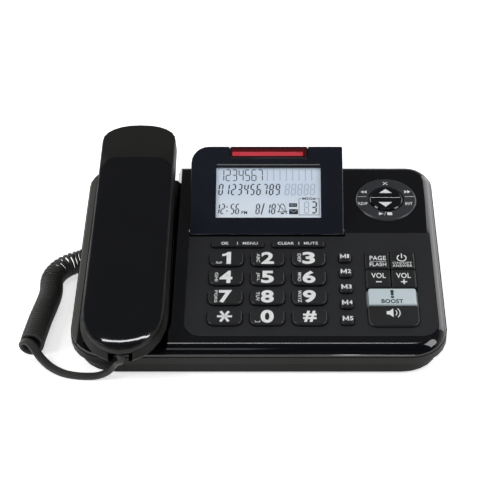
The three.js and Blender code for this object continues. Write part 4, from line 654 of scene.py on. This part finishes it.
def letters(word, box, bold=0.0, turned=False):
    """A word as flat polygons that fill a box: left, front, right, back."""
    data = bpy.data.curves.new("letters", "FONT")
    data.body = word
    data.size = 1
    data.offset = bold
    data.resolution_u = LETTER_ROUNDNESS
    data.space_character = LETTER_SPACING
    text = bpy.data.objects.new("letters", data)
    bpy.context.scene.collection.objects.link(text)
    bpy.context.view_layer.update()
    flat = bpy.data.meshes.new_from_object(text.evaluated_get(bpy.context.evaluated_depsgraph_get()))
    bpy.data.objects.remove(text)
    bpy.data.curves.remove(data)
    points = [v.co.copy() for v in flat.vertices]
    if turned:
        points = [Vector((p.y, -p.x, 0)) for p in points]
    low = Vector((min(p.x for p in points), min(p.y for p in points)))
    high = Vector((max(p.x for p in points), max(p.y for p in points)))
    left, front, right, back = box
    points = [(
        left + (p.x - low.x) / (high.x - low.x) * (right - left),
        front + (p.y - low.y) / (high.y - low.y) * (back - front),
    ) for p in points]
    faces = [[points[i] for i in face.vertices] for face in flat.polygons]
    bpy.data.meshes.remove(flat)
    return faces


def patch(left, front, right, back):
    """A flat upright box, as the one polygon of a list."""
    return [[(left, front), (right, front), (right, back), (left, back)]]


def stroke(points, width, closed=False):
    """A line of this width through points, as flat polygons with square ends."""
    faces = []
    loop = points + points[:1] if closed else points
    for a, b in zip(loop, loop[1:]):
        a, b = Vector(a), Vector(b)
        along = (b - a).normalized() * width / 2
        side = Vector((-along.y, along.x))
        a, b = a - along * SQUARE_END, b + along * SQUARE_END
        faces.append([tuple(a - side), tuple(b - side), tuple(b + side), tuple(a + side)])
    return faces


def arc(x, y, radius, start, end, steps=ARC_STEPS):
    """Points on part of a circle, with its angles in degrees."""
    turn = [math.radians(start + (end - start) * i / steps) for i in range(steps + 1)]
    return [(x + radius * math.cos(a), y + radius * math.sin(a)) for a in turn]


def band(x, y, radius, width, start, end, steps=BAND_STEPS):
    """Part of a flat ring, as polygons."""
    outer = arc(x, y, radius + width / 2, start, end, steps)
    inner = arc(x, y, radius - width / 2, start, end, steps)
    return [[a, b, c, d] for a, b, c, d in zip(outer, outer[1:], inner[1:], inner)]


def print_on(name, shapes, plane, height, body, material, ink=INK):
    """Lays flat shapes on a plane at a height in millimetres, as one thin piece that rides on
    a body."""
    mesh = bmesh.new()
    for points in shapes:
        corners = [mesh.verts.new(plane @ (Vector((x, y, height)) * MM)) for x, y in points]
        face = mesh.faces.new(corners)
        face.normal_update()
        if face.normal.dot(plane.to_3x3() @ UP) < 0:
            face.normal_flip()
    bmesh.ops.remove_doubles(mesh, verts=mesh.verts, dist=SAME_POINT * MM)
    top = bmesh.ops.extrude_face_region(mesh, geom=mesh.faces[:])["geom"]
    raised = [v for v in top if isinstance(v, bmesh.types.BMVert)]
    bmesh.ops.translate(mesh, vec=plane.to_3x3() @ UP * ink * MM, verts=raised)
    bmesh.ops.recalc_face_normals(mesh, faces=mesh.faces)
    piece = new_piece(name, mesh, material)
    for face in piece.data.polygons:
        face.use_smooth = False
    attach(piece, body)


# Dial keys: a wide bold sign in the middle, with small letters down its left side

KEY_TOP = 14
KEY_ACROSS = [-21.6, 5.25, 32.1]
KEY_ALONG = [79.35, 62.1, 44.85, 27.6]
SIGN_SIZES = {"#": (8.5, 9.5)}
SIGN_SIZE = (8.3, 11)
LETTERS_ACROSS = -6.1
LETTERS_WIDTH = 2.2
LETTER_PITCH = 2.6

FIGURE_ONE = [
    (0, -5.5), (2.9, -5.5), (2.9, 5.5), (0.7, 5.5), (-0.9, 4.0), (-2.9, 3.5), (-2.9, 1.5), (0, 2.2),
]
STAR_ARMS = [(4.2, 0), (2.3, 3.9), (-2.3, 3.9)]
STAR_WIDTH = 1.7
SIGN_BOLD = 0.035
SMALL_BOLD = 0.012
# Voicemail's two reels under the 1, and the space bar's tray under the 0, from the key's middle
REELS = [(-6.15, -4.2), (-3.65, -4.2)]
REEL_RADIUS = 0.65
REEL_WIDTH = 0.35
REEL_LINE = [(-6.1, -4.95), (-3.7, -4.95)]
SPACE_TRAY = [(-7.4, -3.7), (-7.4, -4.7), (-4.6, -4.7), (-4.6, -3.7)]
TRAY_WIDTH = 0.4


def moved(points, x, u):
    """Points of a drawing, moved to its place on the deck."""
    return [(x + across, u + along) for across, along in points]


def key_sign(sign, x, u):
    """The large sign of a dial key, centred on a place."""
    if sign == "1":
        return [moved(FIGURE_ONE, x, u)]
    if sign == "*":
        arms = [moved([(-a, -b), (a, b)], x, u) for a, b in STAR_ARMS]
        return [face for arm in arms for face in stroke(arm, STAR_WIDTH)]
    wide, high = SIGN_SIZES.get(sign, SIGN_SIZE)
    return letters(sign, (x - wide / 2, u - high / 2, x + wide / 2, u + high / 2), SIGN_BOLD)


for i, (name, sign, small) in enumerate(dial_keys):
    x, u = KEY_ACROSS[i % 3], KEY_ALONG[i // 3]
    shapes = key_sign(sign, x, u)
    if small:
        half = LETTER_PITCH * len(small) / 2
        left, right = x + LETTERS_ACROSS - LETTERS_WIDTH / 2, x + LETTERS_ACROSS + LETTERS_WIDTH / 2
        shapes += letters(small, (left, u - half, right, u + half), SMALL_BOLD, turned=True)
    if sign == "1":
        for across, along in moved(REELS, x, u):
            shapes += band(across, along, REEL_RADIUS, REEL_WIDTH, 0, 360)
        shapes += stroke(moved(REEL_LINE, x, u), REEL_WIDTH)
    if sign == "0":
        shapes += stroke(moved(SPACE_TRAY, x, u), TRAY_WIDTH)
    print_on(f"{name}_print", shapes, DECK, KEY_TOP, name, white_ink)

# From here on each drawing is given where it lies: the box of a word or patch as left, front,
# right, back, and the points of a shape, all in millimetres on its plane.

# The two long rockers over the dial keys
print_on("menu_rocker_print", (
    letters("OK", (-25.4, 91.6, -20.5, 94.3), 0.03) + patch(-14.9, 91.7, -14.5, 94.2)
    + letters("MENU", (-11.2, 91.7, -1.4, 94.2), 0.005)
), DECK, KEY_TOP, "menu_rocker", white_ink)
print_on("clear_rocker_print", (
    letters("CLEAR", (11.9, 91.7, 22.6, 94.2), 0.02) + patch(25.6, 91.7, 26.0, 94.2)
    + letters("MUTE", (29.2, 91.7, 38.5, 94.2), 0.008)
), DECK, KEY_TOP, "clear_rocker", white_ink)

# Memory keys: an M of three strokes, from its front left corner, then the key's number
MEMORY_COUNT = 5
MEMORY_LEFT = 52.8
MEMORY_BACK = 79.2
MEMORY_PITCH = 13.75
M_HIGH = 3.6
M_STEMS = [[(0.4, 0), (0.4, M_HIGH)], [(3.5, 0), (3.5, M_HIGH)]]
M_STEM_WIDTH = 0.8
M_NOTCH = [(0.5, 3.3), (1.95, 0.7), (3.4, 3.3)]
M_NOTCH_WIDTH = 0.7
NUMBER_LEFT = 4.5
NUMBER_WIDTH = 2.1
ONE_WIDTH = 1.3
NUMBER_BOLD = 0.03
for i in range(MEMORY_COUNT):
    x, u = MEMORY_LEFT, MEMORY_BACK - i * MEMORY_PITCH
    name = f"memory_key_{i + 1}"
    shapes = [face for stem in M_STEMS for face in stroke(moved(stem, x, u), M_STEM_WIDTH)]
    shapes += stroke(moved(M_NOTCH, x, u), M_NOTCH_WIDTH)
    left = x + NUMBER_LEFT
    right = left + (ONE_WIDTH if i == 0 else NUMBER_WIDTH)
    shapes += letters(str(i + 1), (left, u, right, u + M_HIGH), NUMBER_BOLD)
    print_on(f"{name}_print", shapes, DECK, KEY_TOP, name, white_ink)

# The six function keys
CLUSTER_TOP = 13.2
print_on("page_key_print", (
    letters("PAGE", (72.1, 78.0, 82.7, 82.0), 0.015) + patch(72.0, 76.75, 82.5, 77.05)
    + letters("FLASH", (71.9, 72.5, 82.7, 75.9), 0.015)
), DECK, CLUSTER_TOP, "page_key", white_ink)
print_on("answer_key_print", (
    band(93.1, 80.1, 2.9, 0.75, 122, 418) + patch(92.75, 79.9, 93.45, 84.2)
    + letters("ON/OFF", (86.9, 74.6, 99.5, 76.5))
    + letters("ANSWER", (86.7, 71.8, 99.7, 74.1), 0.01)
), DECK, CLUSTER_TOP, "answer_key", white_ink)
print_on("volume_down_key_print", (
    letters("VOL", (72.5, 61.8, 81.8, 66.4), 0.015) + patch(75.3, 58.0, 79.0, 59.0)
), DECK, CLUSTER_TOP, "volume_down_key", white_ink)
print_on("volume_up_key_print", (
    letters("VOL", (88.6, 61.8, 98.0, 66.4), 0.015) + patch(91.4, 58.0, 95.4, 59.0)
    + patch(92.9, 59.0, 93.9, 60.5) + patch(92.9, 56.5, 93.9, 58.0)
), DECK, CLUSTER_TOP, "volume_up_key", white_ink)
print_on("boost_key_print", (
    [[(84.0, 51.2), (84.3, 46.4), (85.9, 46.4), (86.2, 51.2)]] + patch(84.1, 44.2, 86.1, 45.8)
    + letters("BOOST", (78.0, 39.7, 91.8, 43.2), 0.03)
), DECK, CLUSTER_TOP, "boost_key", dark_ink)
print_on("speaker_key_print", (
    patch(80.7, 29.9, 82.4, 32.8) + [[(82.4, 29.9), (85.0, 27.6), (85.0, 35.1), (82.4, 32.8)]]
    + band(84.0, 31.35, 3.2, 0.55, -42, 42) + band(84.0, 31.35, 5.2, 0.6, -45, 45)
), DECK, CLUSTER_TOP, "speaker_key", white_ink)

# The round keys
NAV_ACROSS = 85.9
NAV_ALONG = 137
RING_TOP = 13.1
ROCKER_TOP = 13.6
NAV = DECK @ Matrix.Translation((NAV_ACROSS * MM, NAV_ALONG * MM, 0))
print_on("nav_ring_print", (
    stroke([(-1.3, 14.2), (1.5, 16.8)], 0.5) + stroke([(-1.3, 16.8), (1.5, 14.2)], 0.5)
    + [[(-17.2, 6.9), (-15.1, 5.3), (-15.1, 8.5)], [(-15.1, 6.9), (-13.0, 5.3), (-13.0, 8.5)]]
    + [[(12.8, 5.5), (14.9, 7.1), (12.8, 8.7)], [(14.9, 5.5), (17.0, 7.1), (14.9, 8.7)]]
    + patch(-19.5, 2.1, -13.4, 2.4) + patch(12.9, 2.1, 19.4, 2.4)
    + letters("RD/P", (-19.2, -6.1, -12.9, -3.3), 0.015) + letters("INT", (12.8, -6.1, 17.7, -3.3), 0.015)
    + [[(-5.6, -16.2), (-2.6, -14.7), (-5.6, -13.2)]] + stroke([(-2.0, -16.3), (-0.8, -13.2)], 0.3)
    + patch(0.1, -16.1, 3.4, -13.4)
), NAV, RING_TOP, "nav_ring", white_ink)
print_on("nav_rocker_print", (
    [[(-4.5, 5.3), (4.3, 5.3), (-0.1, 9.3)], [(-5.3, -3.7), (-0.7, -8.4), (3.9, -3.7)]]
    + patch(-10.0, 0.65, 9.6, 0.95)
), NAV, ROCKER_TOP, "nav_rocker", white_ink)


# The screen: segments that lie on the reflector, under the clear window. All that it says
# is generic: digits in order, a time, a date and a count.

SCREEN_RISE = 2.66
LIT_INK = 0.03
IDLE_INK = 0.02
ICON_LIFT = 0.035
IDLE_PITCH = 4.3
SEGMENTS = {
    "0": "abcdef", "1": "bc", "2": "abged", "3": "abgcd", "4": "fgbc", "5": "afgcd", "6": "afgecd",
    "7": "abc", "8": "abcdefg", "9": "abcdfg",
}
SEGMENT_GAP = 0.2
SLANT = 0.1
COLON_DOTS = ((0.25, 0.37), (0.63, 0.75))
SLASH_FOOT = 0.2
SLASH_HEAD = 0.9


def segment_sign(sign, left, front, wide, high, thick, slant=SLANT):
    """One sign of seven segments, as bars with pointed ends."""
    gap = thick * SEGMENT_GAP
    half = thick / 2
    x0, x1 = left + half, left + wide - half
    y0, y1, y2 = front + half, front + high / 2, front + high - half
    ends = {
        "a": ((x0, y2), (x1, y2)), "g": ((x0, y1), (x1, y1)), "d": ((x0, y0), (x1, y0)),
        "f": ((x0, y1), (x0, y2)), "b": ((x1, y1), (x1, y2)),
        "e": ((x0, y0), (x0, y1)), "c": ((x1, y0), (x1, y1)),
    }
    faces = []
    for key in SEGMENTS[sign]:
        a, b = (Vector(p) for p in ends[key])
        along = (b - a).normalized()
        side = Vector((-along.y, along.x)) * half
        a, b = a + along * gap, b - along * gap
        inner_a, inner_b = a + along * half, b - along * half
        outline = [a, inner_a - side, inner_b - side, b, inner_b + side, inner_a + side]
        faces.append([(p.x + (p.y - front) * slant, p.y) for p in outline])
    return faces


def segment_row(signs, left, front, wide, high, pitch, thick, slant=SLANT):
    """A row of segment signs at an even pitch, with colons and slashes among them."""
    faces = []
    for i, sign in enumerate(signs):
        start = left + i * pitch
        if sign == ":":
            centre = start + wide / 2
            for low, top in COLON_DOTS:
                faces += patch(
                    centre - thick / 2, front + high * low, centre + thick / 2, front + high * top,
                )
        elif sign == "/":
            foot, head = start + wide * SLASH_FOOT, start + wide * SLASH_HEAD
            faces += stroke([(foot, front), (head, front + high)], thick)
        else:
            faces += segment_sign(sign, start, front, wide, high, thick, slant)
    return faces


bell = [
    (11.9, 13.1), (13.1, 14.5), (13.3, 17.0), (14.4, 18.8), (15.6, 18.8), (16.7, 17.0), (16.9, 14.5),
    (18.1, 13.1),
]
lit = (
    segment_row("1234567", -27.8, 35.6, 3.4, 8.6, 4.37, 0.62, 0.0)
    + segment_row("0123456789", -28.5, 25.2, 3.1, 8.4, 4.27, 0.85)
    + segment_row("12:56", -30.2, 11.4, 2.7, 7.7, 3.3, 0.78)
    + letters("PM", (-12.5, 11.4, -8.7, 13.8), 0.01)
    + segment_row("8/18", -3.3, 11.4, 2.8, 7.7, 3.5, 0.78)
    + stroke(bell, 0.5, closed=True) + stroke([(14.2, 12.0), (15.8, 12.0)], 0.9)
    + stroke([(11.9, 18.8), (18.2, 11.6)], 0.45)
    + patch(19.5, 16.7, 24.9, 19.4) + patch(19.5, 11.4, 25.5, 15.1)
    + stroke([(26.2, 10.9), (26.2, 22.7), (27.9, 22.7)], 0.3)
    + stroke([(38.0, 22.7), (39.8, 22.7), (39.8, 10.9), (26.2, 10.9)], 0.3)
    + letters("MSG#", (28.5, 21.7, 37.5, 23.7), 0.02)
    + segment_row("3", 34.2, 11.9, 3.9, 8.9, 4, 0.95, 0.03)
)
print_on(
    "screen_lit_segments", lit, DISPLAY, SCREEN_RISE, "display", lit_segment, LIT_INK,
)
idle = (
    segment_row("88888", 16.4, 25.2, 3.1, 8.4, 4.27, 0.6)
    + [face for i in range(8) for face in patch(4.6 + i * IDLE_PITCH, 35.8, 5.1 + i * IDLE_PITCH, 44.0)]
    + segment_row("8", 29.5, 11.9, 3.3, 8.7, 4, 0.6, 0.03)
)
print_on(
    "screen_idle_segments", idle, DISPLAY, SCREEN_RISE, "display", idle_segment,
    IDLE_INK,
)
print_on("screen_icon_lines", (
    letters("NEW", (20.1, 17.3, 24.3, 18.8)) + stroke([(19.9, 14.7), (22.5, 12.9), (25.1, 14.7)], 0.3)
), DISPLAY, SCREEN_RISE + ICON_LIFT, "display", idle_segment, IDLE_INK)

# On the bezel: a fine line over the window, and the light's bar in its red lens, painted bright with a
# faint painted glow
FACE = 4.5
BAR_LEFT, BAR_FRONT, BAR_RIGHT, BAR_BACK = -19.0, 53.4, 29.0, 56.4
BAR_RADIUS = 0.6
BAR_THICK = 0.25
CORNER_STEPS = 5
# A fine plain grey line along the bezel, over the window
print_on(
    "bezel_line", patch(-29.3, 46.6, 40.4, 47.2), DISPLAY, FACE, "display", bezel_line_grey,
)
bar_outline = []
for x, y, start in (
    (BAR_LEFT + BAR_RADIUS, BAR_FRONT + BAR_RADIUS, 180),
    (BAR_RIGHT - BAR_RADIUS, BAR_FRONT + BAR_RADIUS, 270),
    (BAR_RIGHT - BAR_RADIUS, BAR_BACK - BAR_RADIUS, 0),
    (BAR_LEFT + BAR_RADIUS, BAR_BACK - BAR_RADIUS, 90),
):
    bar_outline += arc(x, y, BAR_RADIUS, start, start + 90, CORNER_STEPS)
# Painted glow: the bar's bright red and faint emission stand for the light it gathers end on
print_on(
    "ringer_light_bar", [bar_outline], DISPLAY, FACE, "display", red_bar_painted_glow, BAR_THICK,
)


# Four gold blades side by side in the line socket, a little behind and over its middle

BLADE_COUNT = 4
BLADE_PITCH = 1.02
BLADE_SIZE = (0.35, 7, 0.35)
BLADE_PLACE = (0, 1.0, 2.6)
BLADE_EDGE = 0.06

blades = bmesh.new()
line_low, line_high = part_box("line_jack")
line_middle = (line_low + line_high) / 2 + Vector(BLADE_PLACE) * MM
for i in range(BLADE_COUNT):
    across = (i - (BLADE_COUNT - 1) / 2) * BLADE_PITCH * MM
    blade = bmesh.ops.create_cube(blades, size=1)["verts"]
    bmesh.ops.scale(blades, vec=Vector(BLADE_SIZE) * MM, verts=blade)
    bmesh.ops.translate(blades, vec=line_middle + Vector((across, 0, 0)), verts=blade)
bmesh.ops.bevel(blades, geom=blades.edges[:], offset=BLADE_EDGE * MM, segments=1, affect="EDGES")
contacts = new_piece("line_socket_contacts", blades, gold_contact)
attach(contacts, "base")


# Studio: a white floor, soft boxes and a room that is white low down and dark above

FLOOR_HALF = 6
FLOOR_CELLS = 24
FLOOR_GLOW = 0.6
PAPER_FIBRE = 1.5
PAPER_TOOTH = 0.05

floor_mesh = bmesh.new()
bmesh.ops.create_grid(floor_mesh, x_segments=FLOOR_CELLS, y_segments=FLOOR_CELLS, size=FLOOR_HALF)
# Matt white paper: plain white with a faint tooth, and lit a little so that the eye sees white.
floor_material, floor_tree, floor_shader, floor_place = new_material(
    "matt_white_paper", Roughness=0.9, IOR=PAPER_IOR,
)
floor_shader.inputs["Base Color"].default_value = colour("ffffff")
floor_shader.inputs["Emission Color"].default_value = colour("ffffff")
ray = add(floor_tree, "ShaderNodeLightPath")
seen = add(floor_tree, "ShaderNodeMath", {"operation": "MAXIMUM"}, {
    0: ray.outputs["Is Camera Ray"], 1: ray.outputs["Is Glossy Ray"],
})
seen_through = add(floor_tree, "ShaderNodeMath", {"operation": "MAXIMUM"}, {
    0: seen.outputs["Value"], 1: ray.outputs["Is Transmission Ray"],
})
glow = add(floor_tree, "ShaderNodeMath", {"operation": "MULTIPLY", 1: FLOOR_GLOW}, {
    0: seen_through.outputs["Value"],
})
floor_tree.links.new(glow.outputs["Value"], floor_shader.inputs["Emission Strength"])
fibres = add(floor_tree, "ShaderNodeTexNoise", {"Scale": 1 / (PAPER_FIBRE * MM)}, {
    "Vector": floor_place,
})
tooth = add(floor_tree, "ShaderNodeBump", {"Strength": 0.2, "Distance": PAPER_TOOTH * MM}, {
    "Height": fibres.outputs["Fac"],
})
floor_tree.links.new(tooth.outputs["Normal"], floor_shader.inputs["Normal"])
floor = new_piece("paper_floor", floor_mesh, floor_material)

# The room, by the height and depth of a direction: full white near the table, dim overhead,
# and nearly dark behind the camera
LOW, OVERHEAD, OVERHEAD_LIGHT = 0.05, 0.6, 0.1
BEHIND_CAMERA, BEHIND_OBJECT, BEHIND_LIGHT = -0.5, 0.3, 0.05

world = bpy.data.worlds.new("studio_room")
bpy.context.scene.world = world
world.use_nodes = True
room = world.node_tree
direction = add(room, "ShaderNodeTexCoord").outputs["Generated"]
axes = add(room, "ShaderNodeSeparateXYZ", links={"Vector": direction})
by_height = add(room, "ShaderNodeMapRange", {
    "interpolation_type": "SMOOTHSTEP",
    "From Min": LOW, "From Max": OVERHEAD, "To Min": 1.0, "To Max": OVERHEAD_LIGHT,
}, {"Value": axes.outputs["Z"]})
by_depth = add(room, "ShaderNodeMapRange", {
    "interpolation_type": "SMOOTHSTEP",
    "From Min": BEHIND_CAMERA, "From Max": BEHIND_OBJECT, "To Min": BEHIND_LIGHT, "To Max": 1.0,
}, {"Value": axes.outputs["Y"]})
strength = add(room, "ShaderNodeMath", {"operation": "MULTIPLY"}, {
    0: by_height.outputs["Result"], 1: by_depth.outputs["Result"],
})
room.links.new(strength.outputs["Value"], room.nodes["Background"].inputs["Strength"])
room.nodes["Background"].inputs["Color"].default_value = colour("ffffff")


def soft_box(name, place, target, wide, deep, watts):
    """A rectangular lamp at a place, turned to a target, in metres."""
    data = bpy.data.lights.new(name, "AREA")
    data.shape = "RECTANGLE"
    data.size, data.size_y = wide, deep
    data.energy = watts
    lamp = bpy.data.objects.new(name, data)
    lamp.location = place
    lamp.rotation_euler = (Vector(target) - Vector(place)).to_track_quat("-Z", "Y").to_euler()
    bpy.context.scene.collection.objects.link(lamp)


# Each lamp: its name, its place and its target in metres, its width and depth, and its watts.
# The top strip draws the light line on the handset's nose, and the low box the one on the
# base's front corner.
for lamp in (
    ("top_strip", (-0.09, 0.075, 1.2), (-0.09, -0.05, 0.03), 0.8, 0.05, 2.4),
    ("fascia_strip", (-0.12, -1.06, 1.16), (0, -0.1, 0.02), 0.22, 0.3, 0.2),
    ("low_front_box", (0.21, -2.5, 0.08), (0.05, -0.08, 0.02), 0.9, 0.07, 4),
    ("left_back_panel", (-1.0, 0.9, 0.5), (0, 0, 0.03), 0.9, 0.9, 5),
    ("right_back_panel", (1.0, 0.9, 0.5), (0, 0, 0.03), 0.9, 0.9, 5),
    ("left_box", (-1.1, -0.5, 0.8), (0, 0, 0.05), 0.5, 0.9, 9),
    ("right_box", (1.1, -0.4, 0.9), (0, 0, 0.05), 0.5, 0.9, 8),
):
    soft_box(*lamp)

bpy.context.scene.view_settings.view_transform = "Standard"

bpy.context.view_layer.update()
